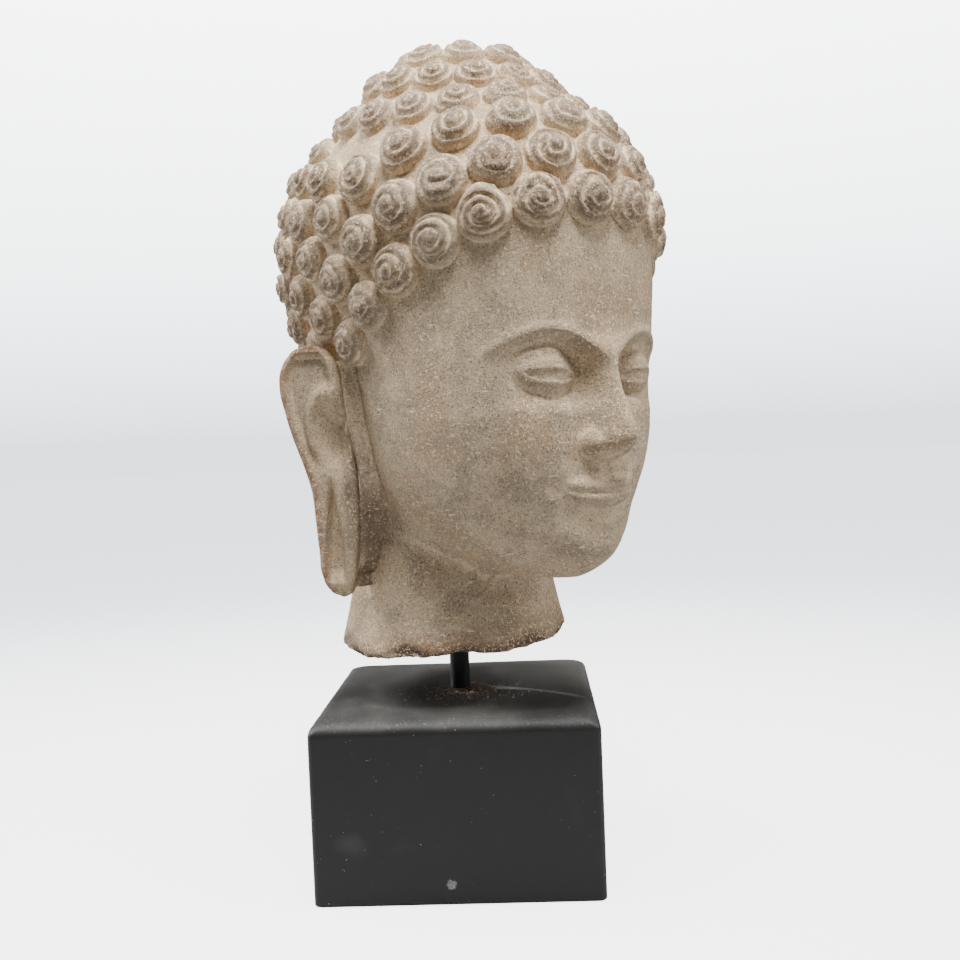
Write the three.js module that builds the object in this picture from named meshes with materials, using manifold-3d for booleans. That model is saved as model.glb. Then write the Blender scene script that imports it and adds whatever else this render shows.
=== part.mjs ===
// Carved stone head on a short steel rod above a black painted block.
// Millimetres, +Z up, origin in the middle of the block's underside. The block's front faces -Y;
// the head is turned about Z, so that it looks to the right of the block's front.
import * as THREE from 'three';
import { ConvexHull } from 'three/addons/math/ConvexHull.js';
import Module from 'manifold-3d';

// ---- driving dimensions -------------------------------------------------------------
const BLOCK_WIDE = 162.5;
const BLOCK_TALL = 102.6;
const BLOCK_TOP_ROUND = 8;
const BLOCK_CORNER_ROUND = 4;
const ROD_R = 6;
const ROD_IN_BLOCK = 45;
const ROD_IN_NECK = 70;
const GAP = 0.3;

const HEAD_TURN = 40;                          // degrees
const CHIN_Z = 187;
const HAIR_Z = 364;                            // hairline over the middle of the forehead
const THIRD = (HAIR_Z - CHIN_Z) / 3;           // the face in three equal parts
const NOSE_Z = CHIN_Z + THIRD;
const BROW_Z = CHIN_Z + 2 * THIRD;
const EYE_Z = BROW_Z - 16;
const MOUTH_Z = NOSE_Z - THIRD / 3;
const EYE_X = 31;
const EYE_HALF = 15.5;
const MOUTH_HALF = 27.5;
const FACE_Y = -40;                            // where the face's rounded section is widest

const HEART = [0, -18, 312];                   // every ray from here leaves the head once
const SKULL = { y: -17, z: 372, across: 91.5, along: 123.5, up: 85, down: 122 };
const KNOT = { y: -22, z: 416, across: 65, along: 67, tall: 63.5 };
const NECK_Y = 3;
const FOOT_Z = 136.5;                            // broken underside of the neck

const CURL_TALL = 10.5;
const CURL_R = 14.2;
const CURL_GAP = 28.5;
const HAIR_ROWS = 8;
const KNOT_AXIS_Y = -30;
const KNOT_BASE_R = 85;
const KNOT_RINGS = [                           // height, radius, curls, share of a step round
  [440, 71, 17, 0.03], [459, 53, 14, 0.75], [472, 31, 8, 0.1], [482, 0, 1, 0],
];

const EAR_TOP = 311.5;
const EAR_FOOT = 169.5;
const EAR_TURN = 40 * Math.PI / 180;
const EAR_ROOT_Y = -16;

// ---- small helpers ------------------------------------------------------------------
const { abs, sin, cos, min, max, sqrt, hypot, exp, floor, round, sign, atan2, PI } = Math;
const clip = (t, a, b) => min(max(t, a), b);
const bump = (t) => (1 - min(t * t, 1)) ** 2;                       // 1 at 0, 0 from 1 on
const ramp = (t, a, b) => { const s = clip((t - a) / (b - a), 0, 1); return s * s * (3 - 2 * s); };
const bell = (t) => exp(-t * t);
const chance = (i, k) => { const s = sin(i * 127.1 + k * 311.7) * 43758.5453; return s - floor(s); };

// Smooth curve through [at, value] pairs: a cubic between neighbours.
function curveThrough(points) {
  const at = points.map((p) => p[0]), value = points.map((p) => p[1]), n = at.length;
  const slope = at.map((_, i) => {
    if (i === 0) return (value[1] - value[0]) / (at[1] - at[0]);
    if (i === n - 1) return (value[n - 1] - value[n - 2]) / (at[n - 1] - at[n - 2]);
    const a = at[i] - at[i - 1], b = at[i + 1] - at[i];
    return (a * a * value[i + 1] + (b * b - a * a) * value[i] - b * b * value[i - 1]) / (a * b * (a + b));
  });
  return (t) => {
    t = clip(t, at[0], at[n - 1]);
    let i = 0;
    while (i < n - 2 && t > at[i + 1]) i++;
    const w = at[i + 1] - at[i], s = (t - at[i]) / w;
    return value[i] * (1 + 2 * s) * (1 - s) ** 2 + value[i + 1] * s * s * (3 - 2 * s)
      + slope[i] * w * s * (1 - s) ** 2 - slope[i + 1] * w * s * s * (1 - s);
  };
}

function smoothUnion(a, b, k) {
  const h = clip(0.5 + 0.5 * (b - a) / k, 0, 1);
  return b * (1 - h) + a * h - k * h * (1 - h);
}

const add = (p, q, k = 1) => [p[0] + q[0] * k, p[1] + q[1] * k, p[2] + q[2] * k];
const dot = (p, q) => p[0] * q[0] + p[1] * q[1] + p[2] * q[2];
const cross = (p, q) => [p[1] * q[2] - p[2] * q[1], p[2] * q[0] - p[0] * q[2], p[0] * q[1] - p[1] * q[0]];
const unit = (p) => { const k = 1 / hypot(...p); return [p[0] * k, p[1] * k, p[2] * k]; };
const apart = (p, q) => hypot(p[0] - q[0], p[1] - q[1], p[2] - q[2]);
const between = (t, at, value) => {                                 // straight between the pairs
  if (t <= at[0]) return value[0];
  for (let i = 1; i < at.length; i++) {
    if (t <= at[i]) return value[i - 1] + (value[i] - value[i - 1]) * (t - at[i - 1]) / (at[i] - at[i - 1] || 1);
  }
  return value[at.length - 1];
};

// ---- smooth form of the head: skull, knot of hair, face and neck ------------------------
const faceHalfWidth = curveThrough([[178, 16], [184, 24], [192, 36], [203, 49], [216, 59], [232, 67],
  [252, 73], [275, 77], [300, 79], [330, 79], [360, 76]]);
const faceFront = curveThrough([[176, 58], [182, 75], [190, 86], [201, 90], [215, 90], [232, 92],
  [252, 94], [275, 96], [300, 98], [325, 99.5], [350, 98.5], [372, 92]]);
const neckRadius = curveThrough([[120, 73], [135, 69.5], [155, 64.5], [180, 60], [215, 58], [260, 60]]);

function underside(x, y) {
  return FOOT_Z + 0.055 * x + 2 * sin(x / 15 + 1.3) * cos(y / 17 - 0.4) + 0.8 * sin(x / 8 - y / 9);
}

function body(x, y, z) {                                            // below 0 inside
  const up = z > SKULL.z ? SKULL.up : SKULL.down;
  const skull = (hypot(x / SKULL.across, (y - SKULL.y) / SKULL.along, (z - SKULL.z) / up) - 1) * 100;
  const knot = (hypot(x / KNOT.across, (y - KNOT.y) / KNOT.along, (z - KNOT.z) / KNOT.tall) - 1) * 66;
  const w = faceHalfWidth(z), d = faceFront(z);
  const deep = y < FACE_Y ? d : 60;
  const ring = (abs(x / w) ** 2.35 + abs((y - FACE_Y) / deep) ** 2.35) ** (1 / 2.35);
  const face = max((ring - 1) * 0.5 * (w + d), CHIN_Z - 7 - z, z - 374);
  const neck = max(hypot(x, y - NECK_Y) - neckRadius(z), z - 290);
  const all = smoothUnion(smoothUnion(smoothUnion(skull, knot, 16), face, 14), neck, 12);
  return max(all, underside(x, y) - z);
}

function shell(d) {                                                 // where a ray from HEART comes out
  let lo = 20, hi = 225;
  for (let i = 0; i < 26; i++) {
    const mid = (lo + hi) / 2;
    if (body(...add(HEART, d, mid)) < 0) lo = mid; else hi = mid;
  }
  return add(HEART, d, (lo + hi) / 2);
}

function normalAt([x, y, z], e = 0.5) {
  return unit([body(x + e, y, z) - body(x - e, y, z), body(x, y + e, z) - body(x, y - e, z),
    body(x, y, z + e) - body(x, y, z - e)]);
}

function footElevation(azimuth) {                                   // of the edge round the underside
  const c = cos(azimuth), s = sin(azimuth);
  let r = 68;
  for (let i = 0; i < 12; i++) {
    const z = underside(r * c, HEART[1] + r * s);
    r += neckRadius(z) - hypot(r * c, HEART[1] + r * s - NECK_Y);
  }
  return atan2(underside(r * c, HEART[1] + r * s) - HEART[2], r);
}

// ---- hair: rows of curls following the hairline, rings of curls up the knot -------------
const firstRow = curveThrough([[0, 376], [20, 373], [32, 367], [45, 356], [59, 343], [71, 329],
  [87, 309], [105, 290], [125, 276], [150, 262], [180, 256]]);
const rowGap = curveThrough([[0, 25], [25, 25.5], [50, 30], [75, 34], [100, 33], [130, 29.5], [180, 27.5]]);
const ROW_START = [-0.38, 0.08, 0.75, 0.2, 0.7, 0.2, 0.6, 0.1];

function findSeats() {
  const seats = [];
  const lines = [];
  for (let a = 0; a < 360; a += 3) {                                // climb the head from each side
    const turned = min(a, 360 - a), t = a * PI / 180;
    const points = [], along = [];
    for (let e = -40; e <= 90.1; e += 1.5) {
      const r = e * PI / 180;
      points.push(shell([sin(t) * cos(r), -cos(t) * cos(r), sin(r)]));
      const n = points.length;
      along.push(n > 1 ? along[n - 2] + apart(points[n - 1], points[n - 2]) : 0);
    }
    const start = between(firstRow(turned), points.map((p) => p[2]), along);
    lines.push({ turned, points, along, start });
  }
  for (let row = 0; row < HAIR_ROWS; row++) {
    const ring = lines.map((l) => {
      const at = l.start + row * rowGap(l.turned);
      return [0, 1, 2].map((k) => between(at, l.along, l.points.map((p) => p[k])));
    });
    ring.push(ring[0]);
    const along = [0];
    for (let i = 1; i < ring.length; i++) along.push(along[i - 1] + apart(ring[i], ring[i - 1]));
    const whole = along[along.length - 1], count = round(whole / CURL_GAP);
    if (count < 3) break;
    for (let j = 0; j < count; j++) {
      const s = ((((j + ROW_START[row]) / count) % 1) + 1) % 1 * whole;
      const c = [0, 1, 2].map((k) => between(s, along, ring.map((p) => p[k])));
      const out = hypot(c[0], c[1] - KNOT_AXIS_Y);
      if (c[2] > 395 && out < KNOT_BASE_R - max(0, 440 - c[2]) * 0.35) continue;
      if (row === 0 && abs(c[1] - EAR_ROOT_Y) < 14 && c[2] < 305) continue;
      seats.push({ at: c, r: row < 3 ? CURL_R : CURL_R - 0.6, tall: CURL_TALL });
    }
  }
  for (const [z, r, n, turn] of KNOT_RINGS) {
    for (let j = 0; j < n; j++) {
      const t = 2 * PI * (j + turn) / n;
      seats.push({ at: [r * sin(t), KNOT_AXIS_Y - r * cos(t), z], r: CURL_R - 2, tall: CURL_TALL * 0.82 });
    }
  }
  seats.forEach((s, i) => {
    s.at = shell(unit(add(s.at, HEART, -1)));
    s.up = normalAt(s.at);
    s.side = abs(s.up[2]) > 0.98 ? [1, 0, 0] : unit(cross(s.up, [0, 0, 1]));
    s.over = cross(s.up, s.side);
    s.tall *= 0.9 + 0.18 * chance(i, 1);
    s.spin = 2 * PI * chance(i, 2);
  });
  for (const s of seats) {                                          // no curl runs into the next
    s.r = min(s.r, 0.51 * min(...seats.filter((o) => o !== s).map((o) => apart(o.at, s.at))));
  }
  return seats;
}

function curlHeight(p, seats) {                                     // how far hair stands off the skull
  let best = 0;
  for (const s of seats) {
    const v = add(p, s.at, -1);
    if (max(abs(v[0]), abs(v[1]), abs(v[2])) > s.r * 1.25) continue;
    const t = hypot(dot(v, s.side), dot(v, s.over)) / s.r;
    if (t < 1) best = max(best, s.tall * (1 - t ** 2.7) ** 0.62);
  }
  return best;
}

// ---- face: how far each point is brought forward ----------------------------------------
const browLine = curveThrough([[0, BROW_Z - 9], [8, BROW_Z - 5], [20, BROW_Z + 2], [34, BROW_Z + 5],
  [48, BROW_Z + 2], [60, BROW_Z - 6], [70, BROW_Z - 16]]);
const noseRise = curveThrough([[-8, 0], [-4, 0.5], [0, 9], [3, 18], [7, 22.5], [12, 22], [22, 17.5],
  [35, 12], [45, 8.5], [54, 6], [62, 2], [72, 0]].map(([z, v]) => [NOSE_Z + z, v]));
const noseWide = curveThrough([[-4, 9.5], [6, 10.5], [14, 9], [24, 8], [40, 7.5], [52, 9.5],
  [62, 14]].map(([z, v]) => [NOSE_Z + z, v]));
const mouthLine = (x) => MOUTH_Z + 3 * clip(abs(x) / MOUTH_HALF, 0, 1.2) ** 2;

function brows(ax, z) {
  const under = browLine(ax) - z;
  const hollow = 8.5 * bump((ax - 15) / 17) + 5 * bump((ax - 36) / 27);
  return 1.6 * bell(under / 3.2) * (1 - ramp(ax, 52, 68)) * ramp(ax, 3, 12)
    - hollow * ramp(under, 0, 9) * (1 - ramp(z, EYE_Z - 8, EYE_Z - 22));
}

function eyes(ax, z) {
  const u = (ax - EYE_X) / EYE_HALF, tilt = z - EYE_Z - 1.2 * u;
  const arch = clip(1 - u * u, 0, 1), top = -1.2 + 2.2 * arch, low = -1.2 - 4 * arch;
  const open = abs(u) < 1 ? ramp(tilt, low, low + 0.9) * (1 - ramp(tilt, top - 0.9, top)) : 0;
  const crease = 1 + 7.2 * clip(1 - (u / 1.15) ** 2, 0, 1);
  return 6.2 * sqrt(clip(1 - (u / 1.12) ** 2 - (tilt / 12.5) ** 2, 0, 1)) - 1.5 * open
    + 0.8 * bell((tilt - top - 0.8) / 1.1) * ramp(1.12 - abs(u), 0, 0.15)
    + 0.6 * bell((tilt - low + 0.9) / 1.1) * ramp(1.1 - abs(u), 0, 0.15)
    - 0.9 * bell((tilt - crease) / 1.2) * ramp(1.15 - abs(u), 0, 0.2);
}

function mouth(x, z) {
  const ax = abs(x), m = ax / MOUTH_HALF, d = z - mouthLine(x), left = clip(1 - m * m, 0, 1);
  const upper = max(7.4 * left ** 0.7 - 1.1 * bump(x / 5), 0.1), lower = max(9 * left ** 0.8, 0.1);
  const lip = d >= 0 ? 4.6 * (1 - clip(d / upper, 0, 1) ** 2.2) ** 0.75
    : 5.4 * (1 - clip(-d / lower, 0, 1) ** 2) ** 0.7;
  return 4.5 * bump(x / 40) * bump((z - MOUTH_Z) / 22) + lip * sqrt(left)
    - 3.2 * bell(d / 1.5) * ramp(1.05 - m, 0, 0.3)
    - 2.2 * bump((ax - 29.5) / 7) * bump((z - MOUTH_Z - 3.5) / 7)
    - 1.3 * bump(x / 5) * ramp(z, MOUTH_Z + 6, MOUTH_Z + 9) * (1 - ramp(z, NOSE_Z - 5, NOSE_Z - 1));
}

function faceRelief(x, z) {
  const ax = abs(x);
  let out = brows(ax, z) + eyes(ax, z) + noseRise(z) * exp(-((ax / noseWide(z)) ** 2.4));
  const wing = clip(1 - ((ax - 11.5) / 6.2) ** 2 - ((z - NOSE_Z - 5.5) / 8) ** 2, 0, 1) ** 0.6;
  out = max(out, out * (1 - wing) + (3 + 8 * wing) * wing);
  out -= 5 * bump((ax - 6.6) / 4.2) * bump((z - NOSE_Z - 0.5) / 3.6);          // nostrils
  out += 3.2 * bump((ax - 42) / 34) * bump((z - NOSE_Z - 8) / 38);             // cheeks
  out += mouth(x, z);
  out -= 2.6 * bump(x / 26) * bump((z - MOUTH_Z + 13) / 6.5);                  // under the lip
  return out + 4.2 * bell(x / 15) * bell((z - CHIN_Z - 12) / 9.5);             // chin
}

function carve(d, seats) {                                          // finished surface along a ray
  const p = shell(d), n = normalAt(p), lift = curlHeight(p, seats);
  if (lift > 0) return add(p, n, lift);
  if (p[1] < -60) p[1] -= faceRelief(p[0], p[2]) * ramp(-n[1], 0.05, 0.35);
  return p;
}

// ---- head: points chosen close together where the carving is fine -----------------------
function triangulate(rays) {                                        // unit rays all round
  const hull = new ConvexHull().setFromPoints(rays.map((d, i) => {
    const v = new THREE.Vector3(...d);
    v.index = i;
    return v;
  }));
  return hull.faces.flatMap(({ edge }) => [edge, edge.next, edge.next.next].map((e) => e.head().point.index));
}

function choosePoints(seats) {
  const kept = [], cells = new Map();
  const key = (p) => p.map((v) => floor(v / 12)).join();
  function offer(p, room) {                                         // keep p if it has room around it
    const c = p.map((v) => floor(v / 12));
    for (let i = -1; i < 2; i++) for (let j = -1; j < 2; j++) for (let k = -1; k < 2; k++) {
      const cell = cells.get([c[0] + i, c[1] + j, c[2] + k].join());
      if (cell && cell.some((q) => apart(p, q) < room)) return;
    }
    kept.push(p);
    if (!cells.has(key(p))) cells.set(key(p), []);
    cells.get(key(p)).push(p);
  }
  const skin = (p) => shell(unit(add(p, HEART, -1)));
  const onFace = (x, z) => {                                        // straight in from the front
    let lo = -60, hi = -165;
    for (let i = 0; i < 24; i++) { const y = (lo + hi) / 2; if (body(x, y, z) < 0) lo = y; else hi = y; }
    return [x, (lo + hi) / 2, z];
  };
  for (const [t, n, room] of [[0, 1, 1], [0.5, 5, 2.6], [0.86, 7, 2.6], [1.05, 9, 2.5]]) {
    for (const s of seats) {
      for (let j = 0; j < n; j++) {
        const a = s.spin + 2 * PI * (j + t) / n;
        const p = skin(add(add(s.at, s.side, s.r * t * cos(a)), s.over, s.r * t * sin(a)));
        if (t < 1 || seats.every((o) => o === s || apart(o.at, p) > 1.25 * o.r)) offer(p, room);
      }
    }
    if (t > 0.8 && t < 1) {                                         // valleys between the curls
      const corners = triangulate(seats.map((s) => unit(add(s.at, HEART, -1))));
      for (let i = 0; i < corners.length; i += 3) {
        const [p, q, o] = [0, 1, 2].map((k) => seats[corners[i + k]].at);
        const whole = [apart(p, q), apart(q, o), apart(o, p)];
        if (max(...whole) < 50) offer(skin([0, 1, 2].map((k) => (p[k] + q[k] + o[k]) / 3)), 2);
        [[p, q], [q, o], [o, p]].forEach(([u, v], k) => {
          if (whole[k] < 36) offer(skin([0, 1, 2].map((m) => (u[m] + v[m]) / 2)), 2);
        });
      }
    }
  }
  const line = (from, to, gap, f, room) => {                        // points along a line of the face
    const n = round(abs(to - from) / gap);
    for (let i = 0; i <= n; i++) {
      const t = from + (to - from) * i / n, [x, z] = f(t);
      offer(onFace(x, z), room);
      if (abs(x) > room / 2) offer(onFace(-x, z), room);
    }
  };
  line(0, MOUTH_HALF, 4.2, (x) => [x, mouthLine(x)], 2.2);
  line(0, MOUTH_HALF - 3, 5, (x) => [x, mouthLine(x) + 3.4], 2.2);
  line(0, MOUTH_HALF - 3, 5, (x) => [x, mouthLine(x) - 3.8], 2.2);
  line(0, MOUTH_HALF - 2, 5, (x) => [x, mouthLine(x) + 8 * (1 - (x / MOUTH_HALF) ** 2) ** 0.7], 2.2);
  line(0, MOUTH_HALF - 2, 5, (x) => [x, mouthLine(x) - 9.6 * (1 - (x / MOUTH_HALF) ** 2) ** 0.8], 2.2);
  for (const [base, arch] of [[-1.6, -4.6], [-1.4, 1.4], [-1, 4.6], [1.2, 8], [-2.2, -10]]) {
    line(-1, 1, 0.27, (u) => [EYE_X + u * (EYE_HALF + 0.5), EYE_Z + 1.2 * u + base + arch * (1 - u * u)], 2.2);
  }
  line(4, 66, 5, (x) => [x, browLine(x) + 1.5], 3);
  line(4, 64, 5, (x) => [x, browLine(x) - 6], 3);
  for (const x of [0, 5, 9.5]) line(NOSE_Z + 2, BROW_Z - 8, 5.2, (z) => [x, z], 2.4);
  line(0, 16, 3.4, (x) => [x, NOSE_Z - 2.6], 2.4);
  line(0, 16, 3.4, (x) => [x, NOSE_Z + 1.6], 2.4);
  line(-1.2, 1.2, 0.4, (a) => [11.5 + 7 * cos(a), NOSE_Z + 5.5 + 8.6 * sin(a)], 2.4);
  for (const [gap, x1, z0, z1] of [[4.4, 50, EYE_Z - 14, EYE_Z + 20], [4.4, 22, NOSE_Z - 8, EYE_Z - 14],
    [4.4, 36, CHIN_Z + 18, MOUTH_Z + 12], [8.6, 66, CHIN_Z - 2, HAIR_Z - 2]]) {
    let odd = 0;
    for (let z = z0; z <= z1; z += gap * 0.87, odd ^= 1) {
      for (let x = odd * gap / 2; x <= x1; x += gap) {
        const p = onFace(x, z);
        if (curlHeight(p, seats) > 0) continue;
        offer(p, gap * 0.8);
        if (x > 1) offer(onFace(-x, z), gap * 0.8);
      }
    }
  }
  const rim = 60;
  for (let i = 0; i < rim; i++) {                                   // edge round the foot of the neck
    const a = 2 * PI * i / rim, e = footElevation(a);
    for (const more of i % 2 ? [0.002] : [0.002, 0.05, -0.05]) {
      offer(shell([cos(e + more) * cos(a), cos(e + more) * sin(a), sin(e + more)]), 1);
    }
  }
  const many = 9000, golden = PI * (3 - sqrt(5));
  for (let i = 0; i < many; i++) {                                  // the rest, evenly over the sphere
    const z = 1 - 2 * (i + 0.5) / many, r = sqrt(1 - z * z);
    if (abs(atan2(z, r) - footElevation(golden * i)) < 0.08) continue;
    const p = shell([r * cos(golden * i), r * sin(golden * i), z]);
    offer(p, curlHeight(p, seats) > 0 ? 9 : 14.5);
  }
  return kept;
}

function headSurface() {
  const seats = findSeats();
  const rays = choosePoints(seats).map((p) => unit(add(p, HEART, -1)));
  return { points: rays.map((d) => carve(d, seats)), corners: triangulate(rays) };
}

// ---- ears and the stone left between each ear and the neck ------------------------------
const earOuter = curveThrough([[169.5, 24], [171, 29], [174, 32.5], [182, 35], [196, 34.3], [214, 33],
  [231, 32], [245, 34], [259, 37], [275, 39], [288, 39.5], [299, 36.5], [306, 31], [310, 24.5],
  [311.5, 17]]);
const earInner = curveThrough([[169.5, 24], [171, 20.5], [174, 18.5], [185, 14.5], [202, 10], [224, 6],
  [241, 4], [258, 4], [275, 4], [290, 3], [299, 3.5], [306, 7], [310, 12], [311.5, 17]]);
const earThick = curveThrough([[169.5, 8], [176, 11], [200, 12], [240, 13], [280, 14], [300, 13],
  [311.5, 9]]);

function earCarving(e, z) {                                         // depth below the ear's front face
  const outer = earOuter(z), inner = earInner(z);
  const wall = min(outer - e, z > 271 ? e - inner : 99, (EAR_TOP - z) * 0.9);
  let deep = 3.6 * ramp(wall, 4.5, 8.5) * ramp(z, 240, 256);
  deep += 4.2 * bump(hypot((e - 14.5) / 9.5, (z - 258) / 17));
  deep += 3 * bump(hypot((e - 22) / 6.5, (z - 288) / 9.5));
  deep -= 2.4 * bump((e - 27 + 0.0045 * (z - 262) ** 2) / 6) * bump((z - 266) / 24);
  deep -= 2.2 * bump(hypot((e - 6.5) / 6.5, (z - 265) / 7.5));
  deep += 2.6 * bump((z - 274.5) / 4.5) * bump((e - 5) / 8);
  const mid = 0.52 * outer + 0.48 * inner + 0.5, half = 1.6 + 3.6 * ramp(z, 232, 192);
  return deep + 5.2 * (1 - ramp(abs(e - mid), half * 0.55, half * 1.25)) * ramp(z, 240, 228)
    * ramp(z, 177, 184);
}

function earPoint(side, e, n, z) {                                  // e out from the root, n to the front
  const x = 84 - 18 * (300 - z) / 125, y = -18 - 4 * (300 - z) / 125;
  return [side * (x + e * sin(EAR_TURN) + n * cos(EAR_TURN)), y + e * cos(EAR_TURN) - n * sin(EAR_TURN), z];
}

// Closed surface from rows of points, each row a loop, with one point closing either end.
function closedGrid(rows, first, last) {
  const n = rows[0].length, points = [first, ...rows.flat(), last], corners = [];
  for (let j = 0; j < n; j++) {
    const k = (j + 1) % n, end = 1 + (rows.length - 1) * n;
    corners.push(0, 1 + j, 1 + k, points.length - 1, end + k, end + j);
    for (let i = 0; i < rows.length - 1; i++) {
      const a = 1 + i * n;
      corners.push(a + j, a + n + j, a + n + k, a + j, a + n + k, a + k);
    }
  }
  return { points, corners };
}

function earSurface(side) {
  const heights = [310.4, 307.5, 303, 297, 290, 282, 275.5, 269, 262, 254, 246, 237, 229, 218, 207, 196,
    187, 180.5, 175.5, 171.5];
  const front = [0, 0.1, 0.22, 0.36, 0.5, 0.64, 0.78, 0.9, 1], back = [0.85, 0.5, 0.15];
  const rows = heights.map((z) => {
    const at = (v, face) => {
      const full = clip(1 - abs(2 * v - 1) ** 5, 0, 1) ** 0.45;
      const e = earInner(z) + (earOuter(z) - earInner(z)) * v, half = earThick(z) / 2 * (0.25 + 0.75 * full);
      return earPoint(side, e, face > 0 ? half - earCarving(e, z) * min(full * 1.2, 1) : -half, z);
    };
    const loop = [...front.map((v) => at(v, 1)), ...back.map((v) => at(v, -1))];
    return side > 0 ? loop : loop.reverse();
  });
  return closedGrid(rows, earPoint(side, 17, 0, EAR_TOP), earPoint(side, 24, 0, EAR_FOOT));
}

function webSurface(side) {
  const rows = [302, 270, 235, 205, 188, 179, 174].map((z) => {
    const tuck = 5 * ramp(z, 184, 174), high = ramp(z, 196, 236);
    const toNeck = (p, k) => add(p, unit([-p[0], NECK_Y - 58 * high - p[1], 0]), k);
    const near = earPoint(side, earInner(z) + 3 - 4 * high + tuck, -2 + 4.5 * high - tuck / 2, z);
    const far = earPoint(side, earOuter(z) - 9 - tuck - 20 * high, -3 - high, z);
    const corners = [near, far, toNeck(far, 40), toNeck(near, 26)];
    const loop = [];
    for (let i = 0; i < 12; i++) {
      const c = cos(2 * PI * i / 12), t = sin(2 * PI * i / 12);
      const u = (1 + sign(c) * sqrt(abs(c))) / 2, v = (1 + sign(t) * sqrt(abs(t))) / 2;
      const weights = [(1 - u) * (1 - v), u * (1 - v), u * v, (1 - u) * v];
      loop.push(corners.reduce((sum, p, k) => add(sum, p, weights[k]), [0, 0, 0]));
    }
    return side > 0 ? loop : loop.reverse();
  });
  const middle = (row) => row.reduce((sum, p) => add(sum, p, 1 / row.length), [0, 0, 0]);
  return closedGrid(rows, middle(rows[0]), middle(rows[rows.length - 1]));
}

// ---- block ------------------------------------------------------------------------------
function blockSurface() {
  const loopAt = (z, inset, r) => {
    const loop = [], half = BLOCK_WIDE / 2 - inset - r;
    for (let q = 0; q < 4; q++) {
      for (let i = 0; i <= 3; i++) {
        const a = PI / 2 * (q + i / 3);
        loop.push([half * [1, -1, -1, 1][q] + r * cos(a), half * [1, 1, -1, -1][q] + r * sin(a), z]);
      }
    }
    return loop;
  };
  const rows = [];
  for (let i = 5; i >= 0; i--) {
    const a = PI / 2 * i / 5, r = BLOCK_TOP_ROUND;
    rows.push(loopAt(BLOCK_TALL - r + r * sin(a), r * (1 - cos(a)), BLOCK_CORNER_ROUND));
  }
  rows.push(loopAt(0.6, 0, BLOCK_CORNER_ROUND), loopAt(0, 0.6, BLOCK_CORNER_ROUND - 0.4));
  return closedGrid(rows, [0, 0, BLOCK_TALL], [0, 0, 0]);
}

// ---- joining and cutting ----------------------------------------------------------------
const wasm = await Module();
wasm.setup();

function solid({ points, corners }) {
  const mesh = new wasm.Mesh({ numProp: 3, vertProperties: new Float32Array(points.flat()),
    triVerts: new Uint32Array(corners) });
  return new wasm.Manifold(mesh);
}

function bar(r, from, to, sides = 32) {
  return wasm.Manifold.cylinder(to - from, r, r, sides).translate([0, 0, from]);
}

function meshOf(name, manifold, colour, roughness, metalness = 0) {
  const { vertProperties, triVerts, numProp } = manifold.getMesh();
  const place = new Float32Array(triVerts.length * 3);
  triVerts.forEach((v, i) => place.set(vertProperties.subarray(v * numProp, v * numProp + 3), i * 3));
  const geometry = new THREE.BufferGeometry();
  geometry.setAttribute('position', new THREE.BufferAttribute(place, 3));
  geometry.computeVertexNormals();
  const mesh = new THREE.Mesh(geometry, new THREE.MeshStandardMaterial({ color: colour, roughness, metalness }));
  mesh.name = name;
  return mesh;
}

let head = solid(headSurface());
for (const side of [-1, 1]) head = head.add(solid(webSurface(side))).add(solid(earSurface(side)));
head = head.rotate([0, 0, HEAD_TURN]);
head = head.subtract(bar(ROD_R + GAP, FOOT_Z - 40, FOOT_Z + ROD_IN_NECK + GAP)).simplify(0.02);

const rodFoot = BLOCK_TALL - ROD_IN_BLOCK;
const block = solid(blockSurface()).subtract(bar(ROD_R + GAP, rodFoot - GAP, BLOCK_TALL + 10));

const group = new THREE.Group();
group.add(meshOf('head', head, 0x8f8068, 0.85));
group.add(meshOf('rod', bar(ROD_R, rodFoot, FOOT_Z + ROD_IN_NECK), 0x151515, 0.5, 0.6));
group.add(meshOf('block', block, 0x17181a, 0.4));

export default group;
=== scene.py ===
import math

import bpy
import numpy as np
from mathutils import Matrix, Vector


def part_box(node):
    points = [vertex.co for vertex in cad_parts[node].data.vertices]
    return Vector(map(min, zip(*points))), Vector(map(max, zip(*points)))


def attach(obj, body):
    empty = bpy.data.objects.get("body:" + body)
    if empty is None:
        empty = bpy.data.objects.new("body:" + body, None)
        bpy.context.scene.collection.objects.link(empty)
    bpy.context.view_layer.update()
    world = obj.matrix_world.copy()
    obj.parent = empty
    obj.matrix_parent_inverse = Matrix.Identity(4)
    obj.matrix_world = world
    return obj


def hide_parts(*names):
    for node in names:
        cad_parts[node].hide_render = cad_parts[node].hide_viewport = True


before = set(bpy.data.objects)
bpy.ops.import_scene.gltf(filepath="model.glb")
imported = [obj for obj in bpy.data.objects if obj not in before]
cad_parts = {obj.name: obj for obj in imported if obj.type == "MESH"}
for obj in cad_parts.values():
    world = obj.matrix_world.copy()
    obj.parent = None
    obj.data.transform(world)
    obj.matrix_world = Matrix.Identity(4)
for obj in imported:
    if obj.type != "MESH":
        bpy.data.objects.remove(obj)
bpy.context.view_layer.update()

MM = 0.001
BLOCK_LOW, BLOCK_HIGH = (np.array(corner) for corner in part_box("block"))
ROD_LOW, ROD_HIGH = (np.array(corner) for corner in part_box("rod"))
TABLE = BLOCK_LOW[2]
ROD_MIDDLE = (ROD_LOW + ROD_HIGH)[:2] / 2
ROD_R = (ROD_HIGH - ROD_LOW)[0] / 2
DETAIL = 1.0


# ---- camera -------------------------------------------------------------------------
LENS_MM, SENSOR_MM = 42.36, 36
EYE_RIGHT, EYE_BACK, EYE_UP = 0.04425, 0.69178, 0.26075
EYE_TURN, EYE_DOWN, EYE_LEAN = -2.248, 2.514, -2.291


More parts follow.
